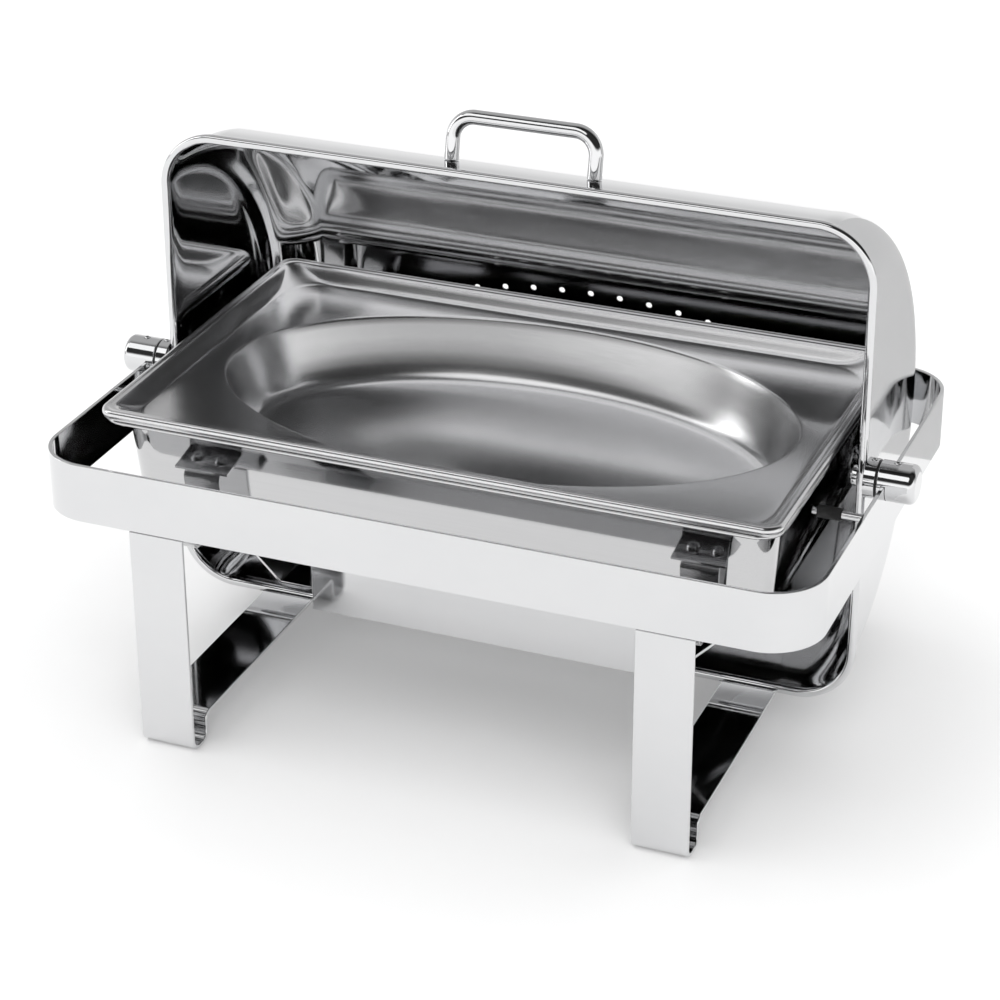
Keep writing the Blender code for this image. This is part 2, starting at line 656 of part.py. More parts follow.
def lid_lip(pivot):
    """The rolled lip as a loop round the outside of the rim, a little too deep until the rim is cut flat."""
    bite = LID_WALL / 2
    inner = rounded_rectangle(LID_HALF_LENGTH - bite, LID_RADIUS - bite, LID_CORNER - bite, 7, 1)
    outer = rounded_rectangle(LIP_OUTSIDE_X, LID_RADIUS + LIP_WIDTH, LID_CORNER + LIP_WIDTH, 7, 1)
    back = LIP_DEPTH * 0.2
    front = -LIP_DEPTH * 1.2

    def build(shape):
        count = len(inner)
        sections = [(inner, front), (outer, front), (outer, back), (inner, back)]
        loops = [[shape.verts.new((x, y, z)) for x, z in outline] for outline, y in sections]
        for first, second in zip(loops, loops[1:] + loops[:1]):
            for i in range(count):
                j = (i + 1) % count
                shape.faces.new((first[i], second[i], second[j], first[j]))
        bmesh.ops.recalc_face_normals(shape, faces=shape.faces)

    return add_object("lid_lip", mesh_from(build, "lid_lip"), parent=pivot)


def vent_cutters(pivot):
    """Cutters for the row of steam vents across the dome."""
    cutters_made = []
    for i in range(VENT_COUNT):
        x = (i - (VENT_COUNT - 1) / 2) * VENT_PITCH
        z = VENT_ROW_HEIGHT - x * x / (2 * VENT_ROW_RADIUS)
        start = (x, LID_RADIUS - CUTTER_REACH, z)
        end = (x, LID_RADIUS + CUTTER_REACH, z)
        cutters_made.append(rod(f"vent_cutter_{i + 1}", VENT_RADIUS, start, end, "Y", parent=pivot, steps=10))
    return cutters_made


def handle_frame(pivot):
    """An empty whose Z axis points out of the dome where the handle stands."""
    stand = add_empty("handle_stand", (0, 0, 0), pivot)
    stand.rotation_euler = (-HANDLE_TILT, 0, 0)
    return stand


def handle_hole_cutters(pivot):
    """Holes through the dome for the two handle screws."""
    stand = handle_frame(pivot)
    holes = []
    for sign in (-1, 1):
        x = sign * HANDLE_SPACING / 2
        holes.append(rod(f"handle_hole_cutter_{sign + 1}", HANDLE_SCREW_RADIUS + GAP,
                         (x, 0, LID_RADIUS - CUTTER_REACH), (x, 0, LID_RADIUS + CUTTER_REACH), "Z",
                         parent=stand, steps=12))
    return holes


def lid_handle(pivot):
    """The D-shaped grip of bent round bar, drilled at both feet for its screws."""
    stand = handle_frame(pivot)
    foot = LID_RADIUS + 1.4 * GAP
    top = LID_RADIUS + HANDLE_RISE - HANDLE_RADIUS
    x = HANDLE_SPACING / 2
    path = rounded_path([(-x, 0, foot), (-x, 0, top), (x, 0, top), (x, 0, foot)], HANDLE_BEND, 6)
    curve = bpy.data.curves.new("lid_handle_path", "CURVE")
    curve.dimensions = "3D"
    curve.bevel_depth = HANDLE_RADIUS
    curve.bevel_resolution = 2
    curve.use_fill_caps = True
    spline = curve.splines.new("POLY")
    spline.points.add(len(path) - 1)
    for point, place in zip(spline.points, path):
        point.co = (*place, 1.0)
    guide = bpy.data.objects.new("lid_handle_path", curve)
    dish.objects.link(guide)
    bpy.context.view_layer.update()
    evaluated = guide.evaluated_get(bpy.context.evaluated_depsgraph_get())
    mesh = bpy.data.meshes.new_from_object(evaluated)
    bpy.data.objects.remove(guide, do_unlink=True)
    shape = bmesh.new()
    shape.from_mesh(mesh)
    bmesh.ops.remove_doubles(shape, verts=shape.verts, dist=0.00001)
    shape.to_mesh(mesh)
    shape.free()
    smooth(mesh)
    handle = add_object("lid_handle", mesh, "mirror_steel", stand)
    for sign in (-1, 1):
        bore = rod(f"handle_bore_cutter_{sign + 1}", HANDLE_SCREW_RADIUS + GAP,
                   (sign * x, 0, LID_RADIUS - CUTTER_REACH),
                   (sign * x, 0, LID_RADIUS + HANDLE_SCREW_DEPTH + 2 * GAP), "Z", parent=stand, steps=12)
        boolean(handle, bore, "DIFFERENCE")
        handle_screw(stand, sign)


def handle_screw(stand, sign):
    """A screw from inside the dome up into one foot of the handle."""
    inside = LID_RADIUS - LID_WALL - 2 * GAP
    tip = LID_RADIUS + HANDLE_SCREW_DEPTH
    head = HANDLE_SCREW_HEAD
    crown = HANDLE_SCREW_HEAD_HEIGHT
    profile = [(0, tip), (HANDLE_SCREW_RADIUS, tip), (HANDLE_SCREW_RADIUS, inside), (head, inside),
               (head, inside - 0.45 * crown), (0.7 * head, inside - 0.9 * crown), (0, inside - crown)]
    name = "left_handle_screw" if sign < 0 else "right_handle_screw"
    turned(name, profile, "mirror_steel", stand, (sign * HANDLE_SPACING / 2, 0, 0), steps=16)


# ---- pivots ------------------------------------------------------------------------------------
def outward(side):
    """The turn that points a turned piece's Z axis out of one end of the dish."""
    return (0, SIDES[side] * math.pi / 2, 0)


def lid_hub(side, pivot):
    """The inner half of a pivot knob: a disc on the lid's end wall that turns on the pivot pin."""
    bore = PIVOT_PIN_RADIUS + RUNNING_GAP
    bore_end = PIN_START - GAP
    edge = KNOB_EDGE
    stub_end = LID_HALF_LENGTH - LID_WALL - HUB_NUT_LENGTH - HUB_STUB_PROUD
    socket = [(0, bore_end), (bore, bore_end), (bore, HUB_END)]
    disc = [(KNOB_RADIUS - edge, HUB_END), (KNOB_RADIUS, HUB_END - edge), (KNOB_RADIUS, HUB_START + edge),
            (KNOB_RADIUS - edge, HUB_START)]
    stub = [(HUB_STUB_RADIUS, HUB_START), (HUB_STUB_RADIUS, stub_end), (0, stub_end)]
    hub = turned(f"{side}_lid_hub", socket + disc + stub, "mirror_steel", pivot, turn=outward(side))
    x = hub_screw_x(side)
    hole = rod(f"{side}_hub_screw_hole", HUB_SCREW_RADIUS + GAP, (x, 0, PIVOT_PIN_RADIUS + HUB_SCREW_DEEP),
               (x, 0, KNOB_RADIUS + CUTTER_REACH), "Z", parent=pivot, steps=12)
    boolean(hub, hole, "DIFFERENCE")


def hub_screw_x(side):
    """Where the hub's set screw stands, from the middle of the dish."""
    return SIDES[side] * (HUB_START + HUB_LENGTH * 0.55)


def hub_screw(side, pivot):
    """The set screw on top of the hub."""
    x = hub_screw_x(side)
    rod(f"{side}_hub_screw", HUB_SCREW_RADIUS, (x, 0, PIVOT_PIN_RADIUS + HUB_SCREW_DEEP + GAP),
        (x, 0, KNOB_RADIUS + GRUB_PROUD), "Z", "mirror_steel", pivot, 12)


def hub_nut(side, pivot):
    """The round nut inside the lid that clamps the hub to the end wall."""
    sign = SIDES[side]
    outer = LID_HALF_LENGTH - LID_WALL - GAP
    nut = rod(f"{side}_hub_nut", HUB_NUT_RADIUS, (sign * (outer - HUB_NUT_LENGTH), 0, 0),
              (sign * outer, 0, 0), "X", "mirror_steel", pivot)
    bore = rod(f"{side}_hub_nut_bore", HUB_STUB_RADIUS + GAP, (sign * (outer - CUTTER_REACH), 0, 0),
               (sign * (outer + CUTTER_REACH), 0, 0), "X", parent=pivot, steps=16)
    boolean(nut, bore, "DIFFERENCE")


def pivot_washer(side):
    """The thin black ring between the turning hub and the fixed block."""
    bore = PIVOT_PIN_RADIUS + GAP
    end = WASHER_START + WASHER_LENGTH
    profile = [(bore, end), (WASHER_RADIUS, end), (WASHER_RADIUS, WASHER_START), (bore, WASHER_START),
               (bore, end)]
    turned(f"{side}_pivot_washer", profile, "black_nylon", location=(0, 0, PIVOT_HEIGHT), turn=outward(side))


def pivot_pin(side):
    """The pin held in the block, on which the hub and the lid turn."""
    sign = SIDES[side]
    rod(f"{side}_pivot_pin", PIVOT_PIN_RADIUS, (sign * PIN_START, 0, PIVOT_HEIGHT),
        (sign * PIN_END, 0, PIVOT_HEIGHT), "X", "satin_steel")


def pivot_block(side):
    """The outer half of a pivot knob: domed at its end and slotted to straddle the band's top edge."""
    sign = SIDES[side]
    edge = KNOB_EDGE
    dome = KNOB_DOME
    profile = [(0, BLOCK_END)]
    steps = 4
    for step in range(1, steps + 1):
        angle = math.pi / 2 * step / steps
        radius = KNOB_RADIUS - dome * (1 - math.sin(angle))
        profile.append((radius, BLOCK_END - dome * (1 - math.cos(angle))))
    profile += [(KNOB_RADIUS, BLOCK_START + edge), (KNOB_RADIUS - edge, BLOCK_START), (0, BLOCK_START)]
    block = turned(f"{side}_pivot_block", profile, "mirror_steel", location=(0, 0, PIVOT_HEIGHT),
                   turn=outward(side))
    near, far = sorted((sign * (BAND_INSIDE_X - GAP), sign * (BAND_LENGTH / 2 + GAP)))
    reach = 2 * KNOB_RADIUS
    slot = box(f"{side}_block_slot_cutter", (near, -reach, PIVOT_HEIGHT - reach),
               (far, reach, BAND_TOP + GAP))
    bore = rod(f"{side}_block_bore_cutter", PIVOT_PIN_RADIUS + GAP,
               (sign * (BLOCK_START - CUTTER_REACH), 0, PIVOT_HEIGHT),
               (sign * (PIN_END + GAP), 0, PIVOT_HEIGHT), "X")
    x = block_screw_x(side)
    hole = rod(f"{side}_block_screw_cutter", GRUB_RADIUS + GAP, (x, 0, PIVOT_HEIGHT),
               (x, 0, PIVOT_HEIGHT + KNOB_RADIUS + CUTTER_REACH), "Z", steps=12)
    for cutter in (slot, bore, hole):
        boolean(block, cutter, "DIFFERENCE")


def block_screw_x(side):
    """Where the block's set screw stands, between the band and the end of the pin."""
    return SIDES[side] * (BAND_LENGTH / 2 + PIN_END) / 2


def block_screw(side):
    """The set screw that holds the pivot pin in the block."""
    x = block_screw_x(side)
    rod(f"{side}_block_screw", GRUB_RADIUS, (x, 0, PIVOT_HEIGHT + PIVOT_PIN_RADIUS + GAP),
        (x, 0, PIVOT_HEIGHT + KNOB_RADIUS + GRUB_PROUD), "Z", "mirror_steel", steps=12)


# ---- pans --------------------------------------------------------------------------------------
def sheet_ring(inset, height, corner, half_length=PAN_LENGTH / 2, half_depth=PAN_DEPTH / 2):
    """One ring of a pressed pan: a rounded rectangle at a height."""
    outline = rounded_rectangle(half_length - inset, half_depth - inset, corner, side_steps=PAN_SIDE_STEPS)
    return [Vector((x, y, height)) for x, y in outline]


def oval_ring(guide, inset, height):
    """One ring of the oval well, each point in line with its partner on the guide ring."""
    half_x = WELL_HALF_LENGTH - inset
    half_y = WELL_HALF_DEPTH - inset
    ring = []
    for point in guide:
        angle = math.atan2(point.y / half_y, point.x / half_x)
        ring.append(Vector((half_x * math.cos(angle), half_y * math.sin(angle), height)))
    return ring


def food_pan(parent):
    """The full-size food pan: rolled rim with two ridges, a sunk deck and an oval well."""
    top = PAN_RIM_TOP
    deck = PAN_RIM_TOP - DECK_DROP
    low = PAN_RIM_TOP - PAN_RIM_HEIGHT
    wide = PAN_RIM_WIDTH
    corner = PAN_RIM_CORNER
    groove = PAN_RIM_GROOVE
    rim = [(0.11 * wide, low, 0.93 * corner), (0.0, low + 0.27 * PAN_RIM_HEIGHT, corner),
           (0.0, top - 0.34 * PAN_RIM_HEIGHT, corner), (0.13 * wide, top - 0.4 * groove, 0.91 * corner),
           (0.34 * wide, top, 0.79 * corner), (0.55 * wide, top - groove, 0.71 * corner),
           (0.76 * wide, top - 0.4 * groove, 0.71 * corner), (wide, top - 1.6 * groove, 0.75 * corner)]
    middle = 0.5 * (wide + DECK_INSET)
    slope = [(middle, deck + 0.25 * DECK_DROP, 0.75 * DECK_CORNER),
             (0.9 * DECK_INSET, deck + 0.04 * DECK_DROP, DECK_CORNER), (DECK_INSET, deck, DECK_CORNER)]
    rings = [sheet_ring(*level) for level in rim + slope]
    guide = rings[-1]
    depth = deck - WELL_FLOOR
    well = [(0.0, deck), (0.06 * WELL_DRAFT, deck - 0.03 * depth), (0.4 * WELL_DRAFT, deck - 0.55 * depth),
            (0.75 * WELL_DRAFT, deck - 0.90 * depth), (1.25 * WELL_DRAFT, WELL_FLOOR)]
    rings += [oval_ring(guide, *level) for level in well]
    lofted_sheet("food_pan", rings, PAN_SHEET, "satin_steel", parent)


def water_pan(parent):
    """The deep water pan that the food pan hangs in by its rim."""
    edge = WATER_EDGE
    corner = WATER_FLANGE_CORNER
    top = WATER_FLANGE_TOP
    floor = WATER_BOTTOM + WATER_SHEET
    inner = edge + WATER_FLANGE + WATER_SHEET
    foot = inner + WATER_DRAFT
    turn = 2 * WATER_SHEET
    rings = [sheet_ring(edge, top - 1.5 * turn, corner), sheet_ring(edge, top - 0.5 * turn, corner),
             sheet_ring(edge + 0.5 * turn, top, corner - 0.5 * turn),
             sheet_ring(inner - turn, top, WATER_CORNER - turn), sheet_ring(inner, top - turn, WATER_CORNER),
             sheet_ring(foot, floor + 4 * turn, WATER_CORNER),
             sheet_ring(foot + turn, floor + turn, WATER_CORNER),
             sheet_ring(foot + 3.5 * turn, floor, WATER_CORNER)]
    lofted_sheet("water_pan", rings, WATER_SHEET, "satin_steel", parent)


# ---- the whole dish ----------------------------------------------------------------------------
clear_scene()
dish = new_collection("chafing_dish")
cutters = new_collection("cutters")

lid_pivot = add_empty("lid_pivot", (0, 0, PIVOT_HEIGHT))
pan_stack = add_empty("pan_stack", (0, PAN_SHIFT, 0))

frame_band()
burner_shelf()
burner_guard()
for each_side in SIDES:
    leg_strip(each_side)
    pan_bracket(each_side)
    carrier_arm(each_side)
    bracket_screws(each_side)
    rest_pin(each_side)
    fuel_cup(each_side)
    cover_pin(each_side)
    snuffer_cover(each_side)
    lid_hub(each_side, lid_pivot)
    hub_screw(each_side, lid_pivot)
    hub_nut(each_side, lid_pivot)
    pivot_washer(each_side)
    pivot_pin(each_side)
    pivot_block(each_side)
    block_screw(each_side)
lid_shell(lid_pivot)
lid_handle(lid_pivot)
food_pan(pan_stack)
water_pan(pan_stack)
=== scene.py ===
# %% [markdown]
# # A roll-top chafing dish
# The dish is a steel frame that carries a water pan and a food pan, with a barrel-shaped lid that rolls
# back about two knobs. Nearly everything on it is polished or brushed sheet steel, so this lesson is about
# two things: clean, evenly curved surfaces, and a studio for them to reflect. First the working frame is
# loaded. Every piece below takes its place from it and stands in for one of its plain nodes.
# %% Load the frame
import math

import bmesh
import bpy
from mathutils import Matrix, Vector


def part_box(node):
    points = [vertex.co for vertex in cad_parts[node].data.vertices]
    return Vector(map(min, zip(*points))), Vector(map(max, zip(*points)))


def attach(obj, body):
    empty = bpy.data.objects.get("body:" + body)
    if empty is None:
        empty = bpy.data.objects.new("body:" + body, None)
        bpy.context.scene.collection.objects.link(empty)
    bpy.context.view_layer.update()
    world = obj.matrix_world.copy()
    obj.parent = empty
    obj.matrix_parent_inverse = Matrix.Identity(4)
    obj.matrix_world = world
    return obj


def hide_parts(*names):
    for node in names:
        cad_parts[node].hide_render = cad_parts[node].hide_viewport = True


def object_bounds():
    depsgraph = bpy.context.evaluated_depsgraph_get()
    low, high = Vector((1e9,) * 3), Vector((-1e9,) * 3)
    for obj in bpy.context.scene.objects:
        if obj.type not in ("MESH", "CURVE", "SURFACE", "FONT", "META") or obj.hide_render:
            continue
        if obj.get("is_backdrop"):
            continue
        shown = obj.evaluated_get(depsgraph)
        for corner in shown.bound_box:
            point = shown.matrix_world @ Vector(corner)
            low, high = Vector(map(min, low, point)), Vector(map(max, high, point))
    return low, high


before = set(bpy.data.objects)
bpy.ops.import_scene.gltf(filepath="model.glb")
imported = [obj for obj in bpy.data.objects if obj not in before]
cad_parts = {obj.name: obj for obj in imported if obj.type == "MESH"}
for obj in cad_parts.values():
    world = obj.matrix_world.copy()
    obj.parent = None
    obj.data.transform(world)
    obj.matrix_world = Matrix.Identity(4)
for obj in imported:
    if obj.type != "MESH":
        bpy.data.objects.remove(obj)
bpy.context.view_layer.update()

# %% [markdown]
# ## Working in edit mode from a script
# By hand, you add a primitive, go into edit mode, select some faces or edges, and run a tool on them. A
# script does the same, but it has to select by place or direction, since there is nobody to click. These
# helpers do the selecting. Everything is deselected first, because a tool acts on all that is selected.
# %% Selecting
NEAR = 0.00002               # points closer than this are one point
PARALLEL = 0.999             # the cosine from which two directions count as one
BACK = Vector((0, 1, 0))
UP = Vector((0, 0, 1))


def only(piece):
    """Make one piece the only selected one."""
    if bpy.context.mode != "OBJECT":
        bpy.ops.object.mode_set(mode="OBJECT")
    bpy.ops.object.select_all(action="DESELECT")
    piece.select_set(True)
    bpy.context.view_layer.objects.active = piece
    return piece


def edit(piece):
    """Go into edit mode on one piece, with nothing selected in it."""
    only(piece)
    bpy.ops.object.mode_set(mode="EDIT")
    bpy.ops.mesh.select_mode(type="VERT")
    bpy.ops.mesh.select_all(action="DESELECT")


def select_everything():
    """Select the whole of the piece in edit mode."""
    bpy.ops.mesh.select_all(action="SELECT")


def weld():
    """Join the points that lie on one another, and make every face look outwards."""
    select_everything()
    bpy.ops.mesh.remove_doubles(threshold=NEAR)
    bpy.ops.mesh.normals_make_consistent(inside=False)


def done():
    """Leave edit mode and hand back the piece."""
    bpy.ops.object.mode_set(mode="OBJECT")
    return bpy.context.object


def pick(kind, test):
    """Select the vertices, edges or faces that pass a test, and only those."""
    bpy.ops.mesh.select_all(action="DESELECT")
    bpy.ops.mesh.select_mode(type=kind)
    mesh = bpy.context.edit_object.data
    shape = bmesh.from_edit_mesh(mesh)
    parts = {"VERT": shape.verts, "EDGE": shape.edges, "FACE": shape.faces}[kind]
    count = 0
    for part in parts:
        if test(part):
            part.select_set(True)
            count += 1
    shape.select_flush_mode()
    bmesh.update_edit_mesh(mesh)
    return count


def middle(part):
    """The middle of an edge or a face."""
    return sum((vertex.co for vertex in part.verts), Vector()) / len(part.verts)


def runs_along(edge, axis):
    """Whether an edge points along an axis."""
    direction = (edge.verts[1].co - edge.verts[0].co).normalized()
    return abs(direction.dot(axis)) > PARALLEL


def faces_along(face, axis):
    """Whether a face looks along an axis, to either side."""
    return abs(face.normal.dot(axis)) > PARALLEL


print("selecting works to within", NEAR, "m")

# %% [markdown]
# ## Starting and placing pieces
# A piece starts as a primitive where it is needed. Its place, turn and size then go into its mesh, so that
# every piece has the same origin and can be cut, mirrored and joined without surprises.
# %% Starting and placing pieces
def settle(piece):
    """Put a piece's place, turn and size into its mesh, so that its own origin is the world's."""
    only(piece)
    bpy.ops.object.transform_apply(location=True, rotation=True, scale=True)
    return piece


def box(name, low, high):
    """A box between two corners."""
    bpy.ops.object.select_all(action="DESELECT")
    low, high = Vector(low), Vector(high)
    bpy.ops.mesh.primitive_cube_add(size=1.0, location=(low + high) / 2, scale=high - low)
    bpy.context.object.name = name
    return settle(bpy.context.object)


def round_bar(name, radius, start, end, sides=32):
    """A round bar from one point to another."""
    bpy.ops.object.select_all(action="DESELECT")
    start, end = Vector(start), Vector(end)
    turn = UP.rotation_difference(end - start).to_euler()
    bpy.ops.mesh.primitive_cylinder_add(vertices=sides, radius=radius, depth=(end - start).length,
                                        location=(start + end) / 2, rotation=turn)
    bpy.context.object.name = name
    return settle(bpy.context.object)


def place(piece, spot, turn=(0, 0, 0)):
    """Turn a piece about the origin, then move it."""
    piece.rotation_euler = turn
    piece.location = spot
    return settle(piece)


def copy(piece, name):
    """A copy of a piece with a mesh of its own."""
    twin = piece.copy()
    twin.data = piece.data.copy()
    twin.name = name
    bpy.context.scene.collection.objects.link(twin)
    return twin


def mirrored(piece, name):
    """A copy on the other side of the dish. A mirrored mesh is inside out, so its faces are turned round."""
    twin = copy(piece, name)
    twin.scale = (-1, 1, 1)
    settle(twin)
    edit(twin)
    select_everything()
    bpy.ops.mesh.normals_make_consistent(inside=False)
    return done()


print("boxes, bars, copies and mirror images are ready")

# %% [markdown]
# ## Drawing and bending a line
# Bent bar and bent sheet start as a line. A point is pulled to where the first bend begins, spun round the
# bend's middle, pulled on to the next bend, and so on. A spin of the whole line makes a turned piece.
# %% Bending a line
def start_line(name, point):
    """A new piece that is one point, ready to be drawn on."""
    bpy.ops.object.select_all(action="DESELECT")
    bpy.ops.mesh.primitive_plane_add(size=0.01, location=point)
    piece = settle(bpy.context.object)
    piece.name = name
    edit(piece)
    select_everything()
    bpy.ops.mesh.merge(type="CENTER")
    return piece


def draw(step):
    """Draw the line on from its end, by one straight step."""
    bpy.ops.mesh.extrude_vertices_move(TRANSFORM_OT_translate={"value": step})


def bent_line(name, corners, radius, steps=8):
    """A line through corner points. Each inner corner is a spin, which turns clockwise about its axis."""
    corners = [Vector(corner) for corner in corners]
    radii = radius if isinstance(radius, (list, tuple)) else [radius] * (len(corners) - 2)
    piece = start_line(name, corners[0])
    here = corners[0]
    for corner, after, bend in zip(corners[1:], corners[2:], radii):
        into = (corner - here).normalized()
        out = (after - corner).normalized()
        turn = into.angle(out)
        first = corner - into * bend * math.tan(turn / 2)
        draw(first - here)
        side = (out - into * into.dot(out)).normalized()
        bpy.ops.mesh.spin(steps=steps, angle=turn, center=first + side * bend, axis=out.cross(into))
        here = corner + out * bend * math.tan(turn / 2)
    draw(corners[-1] - here)
    return piece


def spun(name, corners, steps=64, radius=None):
    """A turned piece: a line in the XZ plane spun once round Z and closed where it meets the axis."""
    if radius:
        bent_line(name, corners, radius)
    else:
        start_line(name, corners[0])
        for here, there in zip(corners, corners[1:]):
            draw(Vector(there) - Vector(here))
    select_everything()
    bpy.ops.mesh.spin(steps=steps, angle=math.tau, center=(0, 0, 0), axis=UP)
    weld()
    return done()


print("lines, bends and turned pieces are ready")

# %% [markdown]
# ## Finishing with modifiers
# A modifier does the same as a tool in edit mode, but to the whole piece and with settings that can be
# read. Each one is applied at once. The most important is the small Bevel: real steel has no perfectly
# sharp edge, and the bright line along an edge is what makes it look like metal.
# %% Finishing with modifiers
FINE_EDGE = 0.0004


def apply(piece, kind, **settings):
    """Add a modifier, set it and apply it."""
    only(piece)
    step = piece.modifiers.new(kind.lower(), kind)
    for name, value in settings.items():
        setattr(step, name, value)
    bpy.ops.object.modifier_apply(modifier=step.name)
    return piece


def join(pieces, name):
    """Make one piece of several."""
    only(pieces[0])
    for piece in pieces[1:]:
        piece.select_set(True)
    bpy.ops.object.join()
    bpy.context.object.name = name
    return bpy.context.object


def cut(piece, cutter, operation="DIFFERENCE"):
    """Cut a piece with another, or unite them, and throw the other away."""
    apply(piece, "BOOLEAN", operation=operation, object=cutter, solver="EXACT")
    bpy.data.objects.remove(cutter, do_unlink=True)
    return piece


def soften(piece, width=FINE_EDGE, segments=2, angle=35):
    """Round the sharp edges a little, then shade smooth with the flats kept flat."""
    apply(piece, "BEVEL", width=width, segments=segments, limit_method="ANGLE",
          angle_limit=math.radians(angle), use_clamp_overlap=True, miter_outer="MITER_ARC")
    return shade(piece)


def shade(piece, angle=35):
    """Smooth shading in which large faces set the normals, so that flat stretches reflect like flat steel."""
    only(piece)
    bpy.ops.object.shade_smooth_by_angle(angle=math.radians(angle))
    return apply(piece, "WEIGHTED_NORMAL", mode="FACE_AREA", weight=90, keep_sharp=True)


def rounded_ring(name, low, high, axis, corner, wall, steps=24):
    """A box with its four edges along one axis rounded, opened at both ends and given a wall inwards."""
    piece = box(name, low, high)
    edit(piece)
    pick("EDGE", lambda edge: runs_along(edge, axis))
    bpy.ops.mesh.bevel(offset=corner, segments=steps, affect="EDGES")
    pick("FACE", lambda face: faces_along(face, axis))
    bpy.ops.mesh.delete(type="ONLY_FACE")
    done()
    return apply(piece, "SOLIDIFY", thickness=wall, offset=-1.0, use_even_offset=True)


def strip_along(name, corners, bend, thickness, across, steps=8):
    """A bent strip: a line on its middle surface, widened and thickened."""
    strip = bent_line(name, corners, bend, steps)
    select_everything()
    bpy.ops.mesh.extrude_edges_move(TRANSFORM_OT_translate={"value": across})
    done()
    return apply(strip, "SOLIDIFY", thickness=thickness, offset=0.0, use_even_offset=True)


def drill(piece, radius, start, end, sides=32):
    """Drill a piece with a round bar from one point to another."""
    return cut(piece, round_bar("drill", radius, start, end, sides))


print("cutting, softening, rings and strips are ready")

# %% [markdown]
# ## Writing shader maths as sums
# A material's pattern is arithmetic on numbers that change over the surface. A small class wraps a socket,
# so that such a sum can be written as a sum, and each operation adds its Math node.
# %% Shader helper
class Field:
    """A number that changes over a surface, with the arithmetic that adds Math nodes."""

    def __init__(self, paint, socket):
        self.paint = paint
        self.socket = socket

    def _math(self, operation, first, second):
        return self.paint.node("ShaderNodeMath", {0: first, 1: second}, operation=operation)

    def __add__(self, other):
        return self._math("ADD", self, other)

    def __radd__(self, other):
        return self._math("ADD", other, self)

    def __mul__(self, other):
        return self._math("MULTIPLY", self, other)


class Nodes:
    """A node tree, of a material or of the world, and what can be added to it."""

    def __init__(self, tree):
        self.tree = tree

    def node(self, kind, sockets=None, out=0, **settings):
        """Add a node: its settings first, then the values or links of its sockets."""
        made = self.tree.nodes.new(kind)
        for name, value in settings.items():
            setattr(made, name, value)
        for socket, value in (sockets or {}).items():
            if isinstance(value, Field):
                self.tree.links.new(value.socket, made.inputs[socket])
            else:
                made.inputs[socket].default_value = value
        return Field(self, made.outputs[out])

    def place(self, scale=(1, 1, 1)):
        """The piece's own coordinates, in metres, stretched by a scale."""
        where = self.node("ShaderNodeTexCoord", out=3)
        return self.node("ShaderNodeMapping", {"Vector": where, "Scale": scale})

    def noise(self, scale, stretch=(1, 1, 1), detail=2.0, roughness=0.5):
        """Soft noise from 0 to 1, with so many lumps to a metre."""
        settings = {"Vector": self.place(stretch), "Scale": scale, "Detail": detail, "Roughness": roughness}
        return self.node("ShaderNodeTexNoise", settings, out=0)

    def between(self, field, low, high, start=0.0, end=1.0):
        """A field taken from the range start to end onto low to high."""
        sockets = {0: field, 1: start, 2: end, 3: low, 4: high}
        return self.node("ShaderNodeMapRange", sockets, interpolation_type="SMOOTHSTEP")

    def tint(self, field, first, second):
        """A colour between two, by a field."""
        sockets = {0: field, 6: (*first, 1.0), 7: (*second, 1.0)}
        return self.node("ShaderNodeMix", sockets, out=2, data_type="RGBA")

    def bump(self, field, depth, strength=1.0, under=None):
        """Turn a height field into a bump of the given depth in metres."""
        sockets = {"Height": field, "Distance": depth, "Strength": strength}
        if under:
            sockets["Normal"] = under
        return self.node("ShaderNodeBump", sockets)


class Paint(Nodes):
    """A new Principled material and the nodes that feed it."""

    def __init__(self, name, **constants):
        self.material = bpy.data.materials.new(name)
        self.material.use_nodes = True
        super().__init__(self.material.node_tree)
        self.shader = self.tree.nodes["Principled BSDF"]
        for socket, value in constants.items():
            self.shader.inputs[socket.replace("_", " ")].default_value = value

    def feed(self, socket, field):
        """Link a field to one of the shader's sockets."""
        self.tree.links.new(field.socket, self.shader.inputs[socket])


print("shader sums are ready")

# %% [markdown]
# ## Polished steel
# Polished stainless sheet is a mirror with a memory of how it was made. It is never quite flat: rolling and
# pressing leave slow waves, which bend a reflection a little. The buffing wheel leaves hair-fine lines, and
# hands and cloths leave smears that are slightly less sharp. So the colour stays nearly even, while slow
# waves and fine lines go to the bump and the smears go to the roughness.
# %% Polished steel
def polished_steel():
    """Mirror-polished stainless steel sheet."""
    paint = Paint("polished_steel", Metallic=1.0)
    waves = paint.noise(5.0, detail=1.0)
    lines = paint.noise(60.0, (0.05, 1.0, 1.0), 3.0)
    smears = paint.noise(14.0, (1.0, 0.6, 1.4), 4.0, 0.6)
    wiped = paint.between(smears, 0.0, 1.0, 0.45, 0.75)
    paint.feed("Base Color", paint.tint(smears, (0.74, 0.74, 0.745), (0.68, 0.685, 0.695)))
    paint.feed("Roughness", 0.045 + wiped * 0.05 + lines * 0.02)
    slow = paint.bump(waves, 0.0012, 0.35)
    paint.feed("Normal", paint.bump(lines, 0.00002, 0.25, slow))
    return paint.material


finishes = {"mirror_steel": polished_steel()}
print("made", finishes["mirror_steel"].name)

